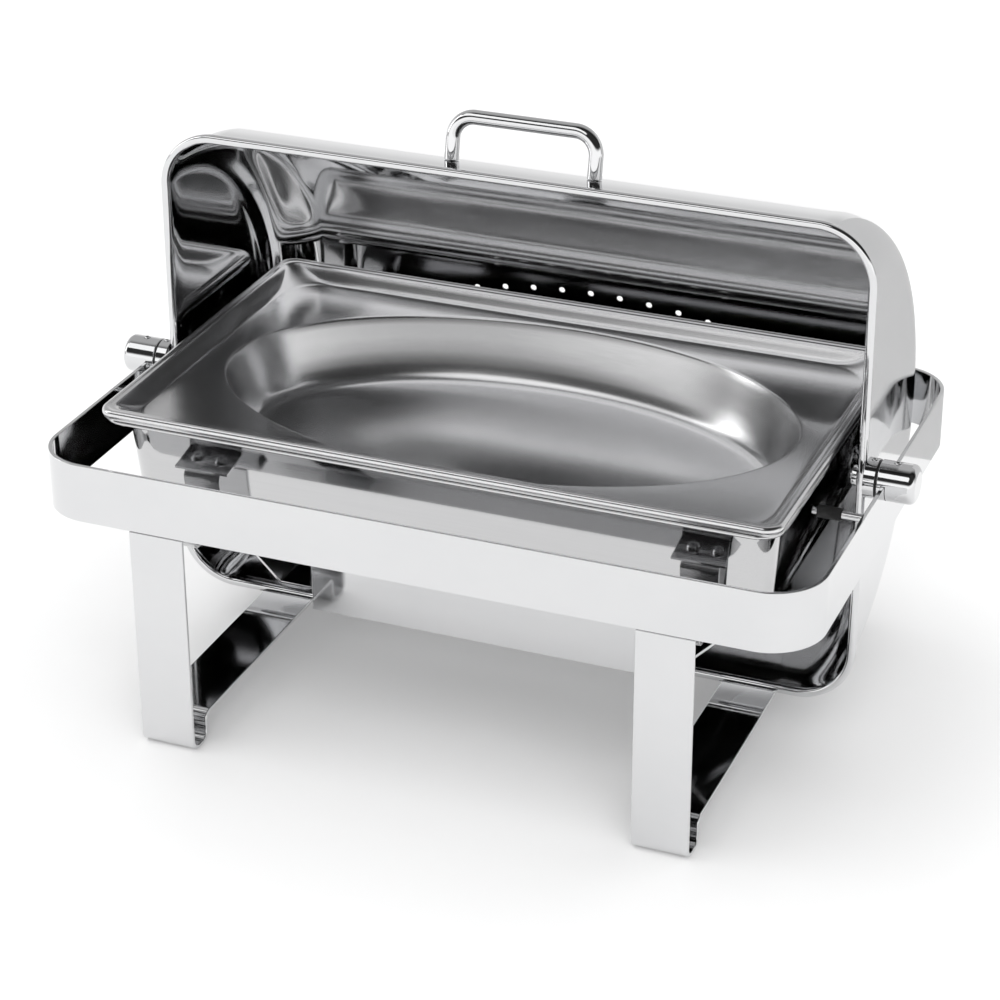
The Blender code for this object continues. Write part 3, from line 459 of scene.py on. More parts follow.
# %% [markdown]
# ## Brushed steel
# The pans have the dull mill finish that hides scratches from serving spoons. Its fine lines all run one
# way, along the length of the sheet, and spread a reflection across themselves. Stretching a noise a
# hundredfold along one axis gives such lines, which go to the roughness, the colour and a very shallow
# bump.
# %% Brushed steel
def brushed_steel(name, pale, dark, roughness, spread):
    """Satin stainless steel with fine lines along X, in two greys and over a range of roughness."""
    paint = Paint(name, Metallic=1.0)
    grain = paint.noise(900.0, (0.012, 1.0, 1.0), 3.0, 0.6)
    bands = paint.noise(120.0, (0.02, 1.0, 1.0), 2.0)
    clouds = paint.noise(9.0, detail=3.0)
    waves = paint.noise(6.0, detail=1.0)
    worn = paint.between(clouds, 0.0, 1.0, 0.35, 0.7)
    paint.feed("Base Color", paint.tint(grain, (pale, pale, pale * 1.01), (dark, dark, dark * 1.01)))
    paint.feed("Roughness", roughness + (grain * 0.5 + bands * 0.3 + worn * 0.2) * spread)
    slow = paint.bump(waves, 0.0008, 0.1)
    paint.feed("Normal", paint.bump(grain, 0.00003, 0.10, slow))
    return paint.material


finishes["satin_steel"] = brushed_steel("brushed_steel", 0.73, 0.68, 0.18, 0.12)
# The water pan's copy has darker greys: painted shade, for the pan that sits in shade under the food pan and
# inside the band.
drawn_steel_with_painted_shade = brushed_steel("drawn_steel_with_painted_shade", 0.60, 0.54, 0.03, 0.06)
print("made", finishes["satin_steel"].name, "and", drawn_steel_with_painted_shade.name)

# %% [markdown]
# ## Rubber and nylon
# The rest sleeves are soft black rubber and the washers between the knobs' halves are black nylon. Both are
# small, so they need only a fine grain, a hint of grey where they rub, and a roughness that is not the same
# all over.
# %% Rubber and nylon
def black_polymer(name, greys, roughness, grain_scale, depth):
    """A black polymer with a fine grain and paler rubbed patches."""
    paint = Paint(name)
    grain = paint.noise(grain_scale, detail=4.0)
    rubbed = paint.between(paint.noise(90.0, detail=2.0), 0.0, 1.0, 0.5, 0.8)
    paint.feed("Base Color", paint.tint(rubbed, (greys[0],) * 3, (greys[1],) * 3))
    paint.feed("Roughness", paint.between(grain, *roughness))
    paint.feed("Normal", paint.bump(grain, depth, 0.5))
    return paint.material


finishes["black_rubber"] = black_polymer("soft_rubber", (0.012, 0.035), (0.55, 0.8), 1500.0, 0.00008)
finishes["black_nylon"] = black_polymer("washer_nylon", (0.010, 0.022), (0.35, 0.5), 900.0, 0.00003)
print("finishes:", ", ".join(finishes))


# %% [markdown]
# ## Fitting a piece to the frame
# Each finished piece is told what it is made of and which body it moves with, and the plain nodes it stands
# for are hidden.
# %% Fitting
SIDES = {"left": -1, "right": 1}


def fit(piece, slot, body, *nodes, finish=None):
    """Give a finished piece its material, from its slot unless a finish is given, hang it on its body and
    hide the nodes that it stands for.
    """
    piece.data.materials.clear()
    piece.data.materials.append(finish or finishes[slot])
    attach(piece, body)
    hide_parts(*nodes)
    print(f"{piece.name}: {len(piece.data.polygons)} faces, rides on {body}")
    return piece


# %% [markdown]
# ## The band
# The band is a long strip of flat bar, 3 mm thick, bent into a ring with round corners and welded at the
# back. It carries the whole dish. A box with its four upright edges bevelled has exactly that outline, and
# once its top and bottom faces are gone a Solidify gives it the bar's thickness. Round notches let the
# pivot pins through.
# %% The band
BAND_WALL = 0.003
BAND_CORNER = 0.042
BAND_EDGE = 0.0011
NOTCH_RADIUS = 0.0043
PAST_BAND = Vector((0.01, 0, 0))

band_low, band_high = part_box("frame_band")
pin_low, pin_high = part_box("right_pivot_pin")
pivot = Vector((0, 0, (pin_low.z + pin_high.z) / 2))
band = rounded_ring("band", band_low, band_high, UP, BAND_CORNER, BAND_WALL)
pivot_left = Vector((band_low.x, 0, pivot.z)) - PAST_BAND
pivot_right = Vector((band_high.x, 0, pivot.z)) + PAST_BAND
drill(band, NOTCH_RADIUS, pivot_left, pivot_right)
soften(band, BAND_EDGE, 4)
fit(band, "mirror_steel", "frame", "frame_band")

# %% [markdown]
# ## The legs
# Each pair of legs is one strip: down at the front, turned under into a foot, up a little, across the floor
# as a stretcher, and the same again at the back. It is drawn as a line on its middle surface, widened to a
# ribbon, thickened, and mirrored from front to back, so that both feet are the same bend.
# %% The legs
LEG_THICKNESS = 0.003
FOOT_DEPTH = 0.0245
FOOT_BEND = 0.0095
STRETCHER_TOP = 0.0245
STRETCHER_BEND = 0.007
LEG_EDGE = 0.0009


def leg_strip(name, low, high):
    """The front half of a leg strip, mirrored to the back."""
    half = LEG_THICKNESS / 2
    x = low.x
    outside = low.y + half
    curl = low.y + FOOT_DEPTH - half
    stretcher = STRETCHER_TOP - half
    corners = [(x, outside, high.z), (x, outside, half), (x, curl, half)]
    corners += [(x, curl, stretcher), (x, 0, stretcher)]
    bends = [FOOT_BEND - half, FOOT_BEND - half, STRETCHER_BEND - half]
    strip = strip_along(name, corners, bends, LEG_THICKNESS, (high.x - low.x, 0, 0), 10)
    apply(strip, "MIRROR", use_axis=(False, True, False), merge_threshold=0.0001)
    edit(strip)
    pick("FACE", lambda face: faces_along(face, BACK) and abs(middle(face).y) < NEAR)
    bpy.ops.mesh.delete(type="FACE")
    weld()
    return done()


for side in SIDES:
    strip = leg_strip(f"{side}_legs", *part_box(f"{side}_leg_strip"))
    soften(strip, LEG_EDGE, 4)
    fit(strip, "mirror_steel", "frame", f"{side}_leg_strip")

# %% [markdown]
# ## The lid
# The lid is a barrel cut in half lengthwise: a box-like profile with round shoulders, swept about the axis
# through the two knobs. Drawing half the profile's outline and spinning it gives even rows of faces, which
# a mirror finish needs, because it shows every dent. The spin goes a little past a half turn, and a bisect
# trims it to a flat rim. Near the rim the sheet flares outwards into a rolled bead.
# %% The lid's skin
LID_WALL = 0.0012
LIP_WIDTH = 0.0045
LIP_DEPTH = 0.005
LID_CORNER = 0.042
LID_STEPS = 120
LID_CUTS_ALONG = 47
LID_CUTS_UP = 15
LID_OVERSHOOT = math.radians(6)
FLARE_WIDTH = 0.0022
FLARE_REACH = 0.014
FLARE_ROWS = [0.001, 0.004, 0.007]
RIM_TUCK = 0.001             # the skin ends this far inside the bead

lid_low, lid_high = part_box("lid_shell")
lid_end = lid_high.x - LIP_WIDTH
lid_radius = lid_high.z - pivot.z - LIP_WIDTH


def lid_skin():
    """The dome's outer surface, flared towards its rim."""
    top = pivot.z + lid_radius
    corners = [(-lid_end, 0, pivot.z), (-lid_end, 0, top), (lid_end, 0, top), (lid_end, 0, pivot.z)]
    skin = bent_line("lid", corners, LID_CORNER, 20)
    pick("EDGE", lambda edge: abs(edge.verts[0].co.x - edge.verts[1].co.x) > lid_end)
    bpy.ops.mesh.subdivide(number_cuts=LID_CUTS_ALONG)
    pick("EDGE", lambda edge: runs_along(edge, UP) and edge.calc_length() > LID_CORNER)
    bpy.ops.mesh.subdivide(number_cuts=LID_CUTS_UP)
    select_everything()
    bpy.ops.transform.rotate(value=-LID_OVERSHOOT, orient_axis="X", center_override=pivot)
    bpy.ops.mesh.spin(steps=LID_STEPS, angle=math.pi + 2 * LID_OVERSHOOT, center=pivot, axis=(1, 0, 0))
    weld()
    for y in FLARE_ROWS:
        select_everything()
        bpy.ops.mesh.bisect(plane_co=(0, y, 0), plane_no=BACK)
    select_everything()
    bpy.ops.mesh.bisect(plane_co=(0, -LIP_DEPTH + RIM_TUCK, 0), plane_no=BACK, clear_inner=True)
    return done()


def flare(skin):
    """Swell the skin outwards towards its rim, more the nearer the rim is."""
    group = skin.vertex_groups.new(name="flare")
    for vertex in skin.data.vertices:
        share = min(max((FLARE_REACH - vertex.co.y) / (FLARE_REACH + LIP_DEPTH), 0.0), 1.0)
        if share > 0:
            group.add([vertex.index], share * share, "REPLACE")
    apply(skin, "DISPLACE", strength=FLARE_WIDTH, mid_level=0.0, vertex_group="flare")
    skin.vertex_groups.clear()
    return skin


skin = flare(lid_skin())
apply(skin, "SOLIDIFY", thickness=LID_WALL, offset=-1.0, use_even_offset=True)
print("lid skin:", len(skin.data.polygons), "faces", skin.dimensions[:])

# %% [markdown]
# ## The rolled lip
# The rim is rolled over a wire, so nobody cuts a hand on it and the sheet stays stiff. It reads as a bead
# all round the opening. The ring helper that made the band makes it too: a ring of the rim's outline, whose
# four long edges are then bevelled until the section is almost round. A Boolean unites it with the skin.
# %% The rolled lip
LIP_SHEET = 0.0022
LIP_BACK = 0.0018
LIP_ROUND = 0.0026

bead_low = Vector((lid_low.x, -LIP_DEPTH, lid_low.z))
bead_high = Vector((lid_high.x, LIP_BACK, lid_high.z))
bead = rounded_ring("bead", bead_low, bead_high, BACK, LID_CORNER + LIP_WIDTH, LIP_WIDTH + LIP_SHEET)
apply(bead, "BEVEL", width=LIP_ROUND, segments=6, limit_method="ANGLE", angle_limit=math.radians(60))
cut(skin, bead, "UNION")
print("lid with its lip:", len(skin.data.polygons), "faces")

# %% [markdown]
# ## Holes in the lid
# A row of steam vents crosses the dome, on a slight curve. Two screws hold the handle and the knobs' stubs
# pass through the end walls. Each hole is a round bar that a Boolean takes away.
# %% Holes in the lid
VENT_COUNT = 9
VENT_PITCH = 0.025
VENT_RADIUS = 0.0025
VENT_ROW_HEIGHT = 0.027
VENT_ROW_RADIUS = 0.5
HANDLE_SPACING = 0.114
HANDLE_TILT = math.radians(10.6)
HANDLE_SCREW_RADIUS = 0.002
HUB_STUB_RADIUS = 0.003
HOLE_REACH = 0.012
HOLE_GAP = 0.0003
HOLE_SIDES = 24


def on_stand(point):
    """A point above the pivot axis, leaned back to where the handle stands."""
    lean = Matrix.Rotation(-HANDLE_TILT, 4, "X")
    return pivot + lean @ Vector(point)


def through(name, radius, point, outwards):
    """A round bar through the lid's sheet at a point, along the direction outwards."""
    reach = Vector(outwards) * HOLE_REACH
    return round_bar(name, radius, point - reach, point + reach, HOLE_SIDES)


def lid_holes():
    """Every bar that the lid is drilled with, as one cutter."""
    bars = []
    for i in range(VENT_COUNT):
        x = (i - (VENT_COUNT - 1) / 2) * VENT_PITCH
        z = pivot.z + VENT_ROW_HEIGHT - x * x / (2 * VENT_ROW_RADIUS)
        bars.append(through("vent", VENT_RADIUS, Vector((x, lid_radius, z)), BACK))
    for sign in SIDES.values():
        x = sign * HANDLE_SPACING / 2
        spot = on_stand((x, 0, lid_radius))
        bars.append(through("screw_hole", HANDLE_SCREW_RADIUS + HOLE_GAP, spot, on_stand(UP) - pivot))
        end = pivot + Vector((sign * lid_end, 0, 0))
        bars.append(through("stub_hole", HUB_STUB_RADIUS + HOLE_GAP, end, (sign, 0, 0)))
    return join(bars, "lid_holes")


cut(skin, lid_holes())
shade(skin, 40)
fit(skin, "mirror_steel", "lid", "lid_shell")

# %% [markdown]
# ## The handle
# The handle is round bar bent into a low arch. A circle is the bar's section: it is pulled straight up,
# spun round the first bend, pulled across, spun round the second bend and pulled down again.
# %% The handle
HANDLE_RADIUS = 0.00575
HANDLE_BEND = 0.017
HANDLE_RISE = 0.040
HANDLE_GAP = 0.0004
HANDLE_EDGE = 0.0006
HANDLE_SIDES = 40
HANDLE_BEND_STEPS = 20


def pull(step):
    """Pull the selected circle along by one straight step."""
    bpy.ops.mesh.extrude_region_move(TRANSFORM_OT_translate={"value": step})


def swing(centre):
    """Spin the selected circle through a quarter turn to the right."""
    bpy.ops.mesh.spin(steps=HANDLE_BEND_STEPS, angle=math.pi / 2, center=centre, axis=-BACK)


def lid_handle():
    """The arch, upright over the axis. It is leaned back when it is placed."""
    half = HANDLE_SPACING / 2
    foot = lid_radius + HANDLE_GAP
    bend_start = lid_radius + HANDLE_RISE - HANDLE_RADIUS - HANDLE_BEND
    bpy.ops.object.select_all(action="DESELECT")
    bpy.ops.mesh.primitive_circle_add(vertices=HANDLE_SIDES, radius=HANDLE_RADIUS, fill_type="NGON",
                                      location=(-half, 0, foot))
    handle = settle(bpy.context.object)
    handle.name = "handle"
    edit(handle)
    select_everything()
    pull((0, 0, bend_start - foot))
    swing((-half + HANDLE_BEND, 0, bend_start))
    pull((HANDLE_SPACING - 2 * HANDLE_BEND, 0, 0))
    swing((half - HANDLE_BEND, 0, bend_start))
    pull((0, 0, foot - bend_start))
    weld()
    return done()


handle = place(lid_handle(), pivot, (-HANDLE_TILT, 0, 0))
soften(handle, HANDLE_EDGE, 3)
fit(handle, "mirror_steel", "lid", "lid_handle")

# %% [markdown]
# ## Screws
# All the screws are made the same way: a turned blank, and a hexagon socket sunk into its head by a Boolean
# with a six-sided bar. They are made upright at the origin and then placed.
# %% Screws
HANDLE_SCREW_HEAD = 0.005
HANDLE_SCREW_TALL = 0.0026
HANDLE_SCREW_LENGTH = 0.0118
HANDLE_SCREW_SOCKET = 0.0022


def socket_screw(name, head_radius, head_height, shank_radius, shank_length, socket_radius):
    """An upright screw with its head above the origin and its shank below."""
    corners = [(0, 0, head_height), (head_radius * 0.8, 0, head_height)]
    corners += [(head_radius, 0, head_height * 0.55), (head_radius, 0, 0), (shank_radius, 0, 0)]
    corners += [(shank_radius, 0, -shank_length), (0, 0, -shank_length)]
    screw = spun(name, corners, steps=32)
    drill(screw, socket_radius, (0, 0, head_height * 0.35), (0, 0, head_height * 2), 6)
    return soften(screw, head_radius * 0.05, 2)


def set_screw(name, low, high, socket_radius):
    """An upright headless screw that fills the box between two corners."""
    radius = (high.x - low.x) / 2
    length = high.z - low.z
    corners = [(0, 0, 0), (radius * 0.82, 0, 0), (radius, 0, -radius * 0.2)]
    corners += [(radius, 0, -length), (0, 0, -length)]
    screw = spun(name, corners, steps=32)
    drill(screw, socket_radius, (0, 0, -radius), (0, 0, radius), 6)
    soften(screw, radius * 0.05, 2)
    return place(screw, ((low.x + high.x) / 2, 0, high.z))


handle_screw = socket_screw("left_handle_bolt", HANDLE_SCREW_HEAD, HANDLE_SCREW_TALL, HANDLE_SCREW_RADIUS,
                            HANDLE_SCREW_LENGTH, HANDLE_SCREW_SOCKET)
lean_over = (math.pi - HANDLE_TILT, 0, 0)
place(handle_screw, on_stand((-HANDLE_SPACING / 2, 0, lid_radius - LID_WALL - 2 * HOLE_GAP)), lean_over)
for side, screw in zip(SIDES, (handle_screw, mirrored(handle_screw, "right_handle_bolt"))):
    fit(screw, "mirror_steel", "lid", f"{side}_handle_screw")

# %% [markdown]
# ## The pivot knobs
# A knob is two turned halves. The inner half is bolted to the lid and turns with it. The outer half is
# slotted to straddle the band's top edge and does not turn. A washer keeps them apart and a pin runs
# through both. They are turned upright about Z, laid down along X, cut, and mirrored to the other side.
# %% The turning half of the knobs
KNOB_EDGE = 0.0008
NUT_EDGE = 0.0006
HUB_SOCKET = 0.0011
KNOB_STEPS = 96
PIN_RADIUS = pin_high.y
NUT_RADIUS = 0.008
RUNNING_GAP = 0.0003
along_x = (0, math.pi / 2, 0)

hub_low, hub_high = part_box("right_lid_hub")
knob_radius = hub_high.y
hub_start = lid_high.x + RUNNING_GAP
hub_screw_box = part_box("right_hub_screw")


def drill_down(piece, bottom, low, high):
    """Drill a piece from above down to a height, for the set screw between two corners."""
    middle_x = (low.x + high.x) / 2
    radius = (high.x - low.x) / 2 + RUNNING_GAP
    return drill(piece, radius, (middle_x, 0, bottom), (middle_x, 0, high.z + 0.01))


def knob_hub():
    """The disc against the lid's end wall, bored for the pin, with a stub through the wall."""
    bore = PIN_RADIUS + RUNNING_GAP
    bottom = pin_low.x - RUNNING_GAP
    corners = [(0, 0, bottom), (bore, 0, bottom), (bore, 0, hub_high.x), (knob_radius, 0, hub_high.x)]
    corners += [(knob_radius, 0, hub_start), (HUB_STUB_RADIUS, 0, hub_start)]
    corners += [(HUB_STUB_RADIUS, 0, hub_low.x), (0, 0, hub_low.x)]
    hub = place(spun("right_knob_hub", corners, steps=KNOB_STEPS), pivot, along_x)
    drill_down(hub, hub_screw_box[0].z, *hub_screw_box)
    return soften(hub, KNOB_EDGE, 3)


def collar(name, bore, radius, low_x, high_x, spot, steps=64):
    """A turned ring along X, between two distances from the middle of the dish."""
    corners = [(bore, 0, low_x), (radius, 0, low_x), (radius, 0, high_x), (bore, 0, high_x), (bore, 0, low_x)]
    return place(spun(name, corners, steps), spot, along_x)


def both_sides(piece, slot, body, node):
    """Fit a right-hand piece, and its mirror image on the left. Braces in the body's name take the side."""
    twin = mirrored(piece, piece.name.replace("right", "left"))
    shade(twin)
    fit(piece, slot, body.format("right"), "right_" + node)
    fit(twin, slot, body.format("left"), "left_" + node)


both_sides(knob_hub(), "mirror_steel", "lid", "lid_hub")

both_sides(set_screw("right_hub_grub", *hub_screw_box, HUB_SOCKET), "mirror_steel", "lid", "hub_screw")

nut_low, nut_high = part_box("right_hub_nut")
nut = collar("right_knob_nut", HUB_STUB_RADIUS + RUNNING_GAP, NUT_RADIUS, nut_low.x, nut_high.x, pivot)
both_sides(soften(nut, NUT_EDGE), "mirror_steel", "lid", "hub_nut")

# %% [markdown]
# ## The fixed half of the knobs
# The outer half has a domed face, and a box cuts the slot that sits on the band. Washer and pin are a ring
# and a bar.
# %% The fixed half of the knobs
KNOB_DOME = 0.005
BLOCK_EDGE = 0.0005
BLOCK_SOCKET = 0.0013
SLOT_DEPTH = 0.03
WASHER_EDGE = 0.0002

washer_low, washer_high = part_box("right_pivot_washer")
bore = PIN_RADIUS + RUNNING_GAP
washer = collar("right_knob_washer", bore, washer_high.y, washer_low.x, washer_high.x, pivot)
both_sides(soften(washer, WASHER_EDGE), "black_nylon", "frame", "pivot_washer")

pin = round_bar("right_knob_pin", PIN_RADIUS, (pin_low.x, 0, pivot.z), (pin_high.x, 0, pivot.z))
both_sides(soften(pin), "satin_steel", "frame", "pivot_pin")

block_low, block_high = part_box("right_pivot_block")
block_screw_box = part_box("right_block_screw")


def knob_block():
    """The domed outer half, slotted over the band and drilled for the pin and its screw."""
    corners = [(0, 0, block_high.x), (knob_radius, 0, block_high.x)]
    corners += [(knob_radius, 0, block_low.x), (0, 0, block_low.x)]
    block = place(spun("right_knob_block", corners, KNOB_STEPS, [KNOB_DOME, KNOB_EDGE]), pivot, along_x)
    slot_low = (band_high.x - BAND_WALL - RUNNING_GAP, -SLOT_DEPTH, pivot.z - SLOT_DEPTH)
    slot_high = (band_high.x + RUNNING_GAP, SLOT_DEPTH, band_high.z + RUNNING_GAP)
    cut(block, box("slot", slot_low, slot_high))
    drill(block, bore, (block_low.x - 0.01, 0, pivot.z), (pin_high.x, 0, pivot.z))
    drill_down(block, pivot.z, *block_screw_box)
    return soften(block, BLOCK_EDGE, 3, 50)


both_sides(knob_block(), "mirror_steel", "frame", "pivot_block")
grub = set_screw("right_block_grub", *block_screw_box, BLOCK_SOCKET)
both_sides(grub, "mirror_steel", "frame", "block_screw")

# %% [markdown]
# ## The pans
# A pressed pan is a stack of outlines: rounded rectangles at the rim, ovals down the well. Each outline is
# a ring of edges. Neighbouring rings are bridged in pairs, the pairs are joined, and a Solidify gives the
# sheet its thickness. A Subdivision before that rounds the steps between the rings.
# %% Rings and sheets
RING_CUTS = 15
FLOOR_INSET = 0.02

pan_low, pan_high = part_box("food_pan")
pan_middle = Vector(((pan_low.x + pan_high.x) / 2, (pan_low.y + pan_high.y) / 2, 0))


def rectangle_ring(half_x, half_y, corner, height, steps=12):
    """The outline of a rectangle with round corners."""
    bpy.ops.object.select_all(action="DESELECT")
    bpy.ops.mesh.primitive_plane_add(size=2.0, location=pan_middle + UP * height)
    ring = bpy.context.object
    ring.scale = (half_x, half_y, 1)
    settle(ring)
    edit(ring)
    select_everything()
    bpy.ops.mesh.bevel(offset=corner, segments=steps, affect="VERTICES")
    select_everything()
    bpy.ops.mesh.delete(type="ONLY_FACE")
    pick("EDGE", lambda edge: edge.calc_length() > corner)
    bpy.ops.mesh.subdivide(number_cuts=RING_CUTS)
    return done()


def oval_ring(half_x, half_y, height, steps=112):
    """The outline of an oval."""
    bpy.ops.object.select_all(action="DESELECT")
    bpy.ops.mesh.primitive_circle_add(vertices=steps, radius=1.0, location=pan_middle + UP * height)
    ring = bpy.context.object
    ring.scale = (half_x, half_y, 1)
    return settle(ring)


def sheet(name, rings, thickness):
    """A thick sheet through a stack of rings, closed across the last one."""
    pairs = []
    for first, second in zip(rings, rings[1:]):
        pair = join([copy(first, name), copy(second, name)], name)
        edit(pair)
        select_everything()
        bpy.ops.mesh.bridge_edge_loops()
        pairs.append(done())
    last = rings[-1]
    edit(last)
    select_everything()
    bpy.ops.mesh.edge_face_add()
    bpy.ops.mesh.inset(thickness=FLOOR_INSET)
    pairs.append(done())
    for ring in rings[:-1]:
        bpy.data.objects.remove(ring, do_unlink=True)
    piece = join(pairs, name)
    edit(piece)
    weld()
    done()
    apply(piece, "SUBSURF", levels=1)
    apply(piece, "SOLIDIFY", thickness=thickness, offset=-1.0, use_even_offset=True)
    return shade(piece, 50)


print("pans are built about", pan_middle[:])

# %% [markdown]
# ## The food pan
# Its rim has a rolled edge, a groove and two ridges. A sloping step leads down to the flat deck, and the
# oval well sinks from the deck. Each entry in the lists below is one outline: how far in it lies, and how
# high.
# %% The food pan
PAN_SHEET = 0.0008
RIM_HEIGHT = 0.0073
RIM_WIDTH = 0.0105
RIM_GROOVE = 0.0014
RIM_CORNER = 0.014
DECK_DROP = 0.0138
DECK_INSET = 0.019
DECK_CORNER = 0.034
WELL_X = 0.229
WELL_Y = 0.1375
WELL_DRAFT = 0.024

pan_x = (pan_high.x - pan_low.x) / 2
pan_y = (pan_high.y - pan_low.y) / 2


def pan_rings(levels):
    """Outlines that lie so far inside the pan's edge, each at its height and with its corner."""
    return [rectangle_ring(pan_x - inset, pan_y - inset, corner, z) for inset, z, corner in levels]


def food_pan_rings():
    """The rim's rolled edge, ridge and groove, then the deck, then the oval well."""
    top = pan_high.z
    low = top - RIM_HEIGHT
    deck = top - DECK_DROP
    depth = deck - pan_low.z - PAN_SHEET
    wide = RIM_WIDTH
    levels = [(0.11 * wide, low, 0.93), (0.0, low + 0.27 * RIM_HEIGHT, 1.0)]
    levels += [(0.0, top - 0.34 * RIM_HEIGHT, 1.0), (0.13 * wide, top - 0.4 * RIM_GROOVE, 0.91)]
    levels += [(0.34 * wide, top, 0.79), (0.55 * wide, top - RIM_GROOVE, 0.71)]
    levels += [(0.76 * wide, top - 0.4 * RIM_GROOVE, 0.71), (wide, top - 1.6 * RIM_GROOVE, 0.75)]
    rings = pan_rings([(inset, z, corner * RIM_CORNER) for inset, z, corner in levels])
    slope = [(0.5 * (wide + DECK_INSET), deck + 0.25 * DECK_DROP, 0.75)]
    slope += [(0.9 * DECK_INSET, deck + 0.04 * DECK_DROP, 1.0), (DECK_INSET, deck, 1.0)]
    rings += pan_rings([(inset, z, corner * DECK_CORNER) for inset, z, corner in slope])
    well = [(-0.10, 0.0), (-0.03, 0.002), (0.0, 0.012), (0.05, 0.05)]
    well += [(0.4, 0.55), (0.68, 0.86), (0.9, 0.96), (1.25, 1.0)]
    for inset, share in well:
        inset *= WELL_DRAFT
        rings.append(oval_ring(WELL_X - inset, WELL_Y - inset, deck - share * depth))
    return rings


pan = sheet("pan", food_pan_rings(), PAN_SHEET)
fit(pan, "satin_steel", "food_pan", "food_pan")

# %% [markdown]
# ## The water pan
# It is plainer: a flange whose edge turns down, straight walls, and a floor with a small bend all round.
# %% The water pan
WATER_SHEET = 0.001
WATER_EDGE = 0.001
FLANGE_WIDTH = 0.0095
FLANGE_CORNER = 0.020
WATER_CORNER = 0.030
WATER_DRAFT = 0.005
FLANGE_TURN = 2 * WATER_SHEET

water_low, water_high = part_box("water_pan")


def water_pan_rings():
    """The flange turned down at its edge, then the deep straight walls."""
    top = water_high.z
    floor = water_low.z + WATER_SHEET
    inner = WATER_EDGE + FLANGE_WIDTH + WATER_SHEET
    foot = inner + WATER_DRAFT
    turn = FLANGE_TURN
    levels = [(WATER_EDGE, top - 1.5 * turn, FLANGE_CORNER), (WATER_EDGE, top - 0.5 * turn, FLANGE_CORNER)]
    levels += [(WATER_EDGE + 0.5 * turn, top, FLANGE_CORNER - 0.5 * turn)]
    levels += [(inner - turn, top, WATER_CORNER - turn), (inner, top - turn, WATER_CORNER)]
    levels += [(foot, floor + 4 * turn, WATER_CORNER), (foot + turn, floor + turn, WATER_CORNER)]
    levels += [(foot + 3.5 * turn, floor, WATER_CORNER)]
    return pan_rings(levels)


water = sheet("water", water_pan_rings(), WATER_SHEET)
# The water pan's darker steel is painted shade.
fit(water, "satin_steel", "water_pan", "water_pan", finish=drawn_steel_with_painted_shade)

# %% [markdown]
# ## What carries the pans
# A bracket inside the band's front holds a strip that runs back under the water pan on each side. The
# bracket has a half-round lobe, and a shelf with two screws. The strips are drawn as lines and widened,
# like the legs.
# %% Brackets, arms and their screws
BRACKET_SHEET = 0.0018
BRACKET_WIDTH = 0.044
BRACKET_LOBE = 0.011
ARM_SHEET = 0.0025
ARM_BEND = 0.006
SCREW_RADIUS = 0.002
SCREW_HEAD = 0.005
SCREW_SOCKET = 0.0018
DRILL_REACH = UP * 0.01
THIN_EDGE = 0.0003

bracket_low, bracket_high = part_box("right_pan_bracket")
arm_low, arm_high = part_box("right_carrier_arm")
bolts = [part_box(f"right_bracket_screw_{i}") for i in (1, 2)]
bolt_places = [(low + high) / 2 for low, high in bolts]


def drilled(piece, height):
    """Drill a piece for the bracket's two screws."""
    for spot in bolt_places:
        spot = Vector((spot.x, spot.y, height))
        drill(piece, SCREW_RADIUS + HOLE_GAP, spot - DRILL_REACH, spot + DRILL_REACH, HOLE_SIDES)
    return piece


def bracket():
    """The angle plate and the lobe at its inner end."""
    half = BRACKET_SHEET / 2
    y = bracket_low.y + half
    shelf = bracket_low.z + half
    start = bracket_high.x - BRACKET_WIDTH
    corners = [(start, y, bracket_high.z), (start, y, shelf), (start, bracket_high.y, shelf)]
    piece = strip_along("right_bracket", corners, BRACKET_SHEET, BRACKET_SHEET, (BRACKET_WIDTH, 0, 0))
    lobe = Vector((bracket_low.x + BRACKET_LOBE, y, (bracket_high.z + bracket_low.z + BRACKET_SHEET) / 2))
    deep = BACK * half * 0.9
    cut(piece, round_bar("lobe", BRACKET_LOBE, lobe - deep, lobe + deep, 48), "UNION")
    drilled(piece, shelf)
    return soften(piece, THIN_EDGE)


both_sides(bracket(), "mirror_steel", "frame", "pan_bracket")


def carrier_arm():
    """The strip that steps down behind the bracket and runs back under the water pan."""
    x, bend_y = arm_low.x, bracket_high.y
    upper = arm_high.z - ARM_SHEET / 2
    lower = arm_low.z + ARM_SHEET / 2
    corners = [(x, arm_low.y, upper), (x, bend_y, upper), (x, bend_y, lower), (x, arm_high.y, lower)]
    arm = strip_along("right_arm", corners, ARM_BEND, ARM_SHEET, (arm_high.x - arm_low.x, 0, 0))
    return soften(drilled(arm, upper))


both_sides(carrier_arm(), "satin_steel", "frame", "carrier_arm")

shelf_top = bracket_low.z + BRACKET_SHEET
for i, (low, high) in enumerate(bolts, 1):
    head, shank = high.z - shelf_top, shelf_top - low.z
    screw = socket_screw(f"right_bolt_{i}", SCREW_HEAD, head, SCREW_RADIUS, shank, SCREW_SOCKET)
    place(screw, ((low.x + high.x) / 2, (low.y + high.y) / 2, shelf_top))
    both_sides(screw, "mirror_steel", "frame", f"bracket_screw_{i}")

# %% [markdown]
# ## Rest pins and sleeves
# The closed lid comes down on two short pins inside the band, each in a sleeve of rubber that keeps it
# quiet.
# %% Rest pins and sleeves
REST_EDGE = 0.0005
SLEEVE_EDGE = 0.0008

rest_low, rest_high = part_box("right_rest_pin")
sleeve_low, sleeve_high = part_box("right_rest_sleeve")
rest = (rest_low + rest_high) / 2
rest_radius = (rest_high.z - rest_low.z) / 2
sleeve_radius = (sleeve_high.z - sleeve_low.z) / 2

pin = round_bar("right_rest", rest_radius, (rest_low.x, rest.y, rest.z), (rest_high.x, rest.y, rest.z))
both_sides(soften(pin, REST_EDGE), "mirror_steel", "frame", "rest_pin")

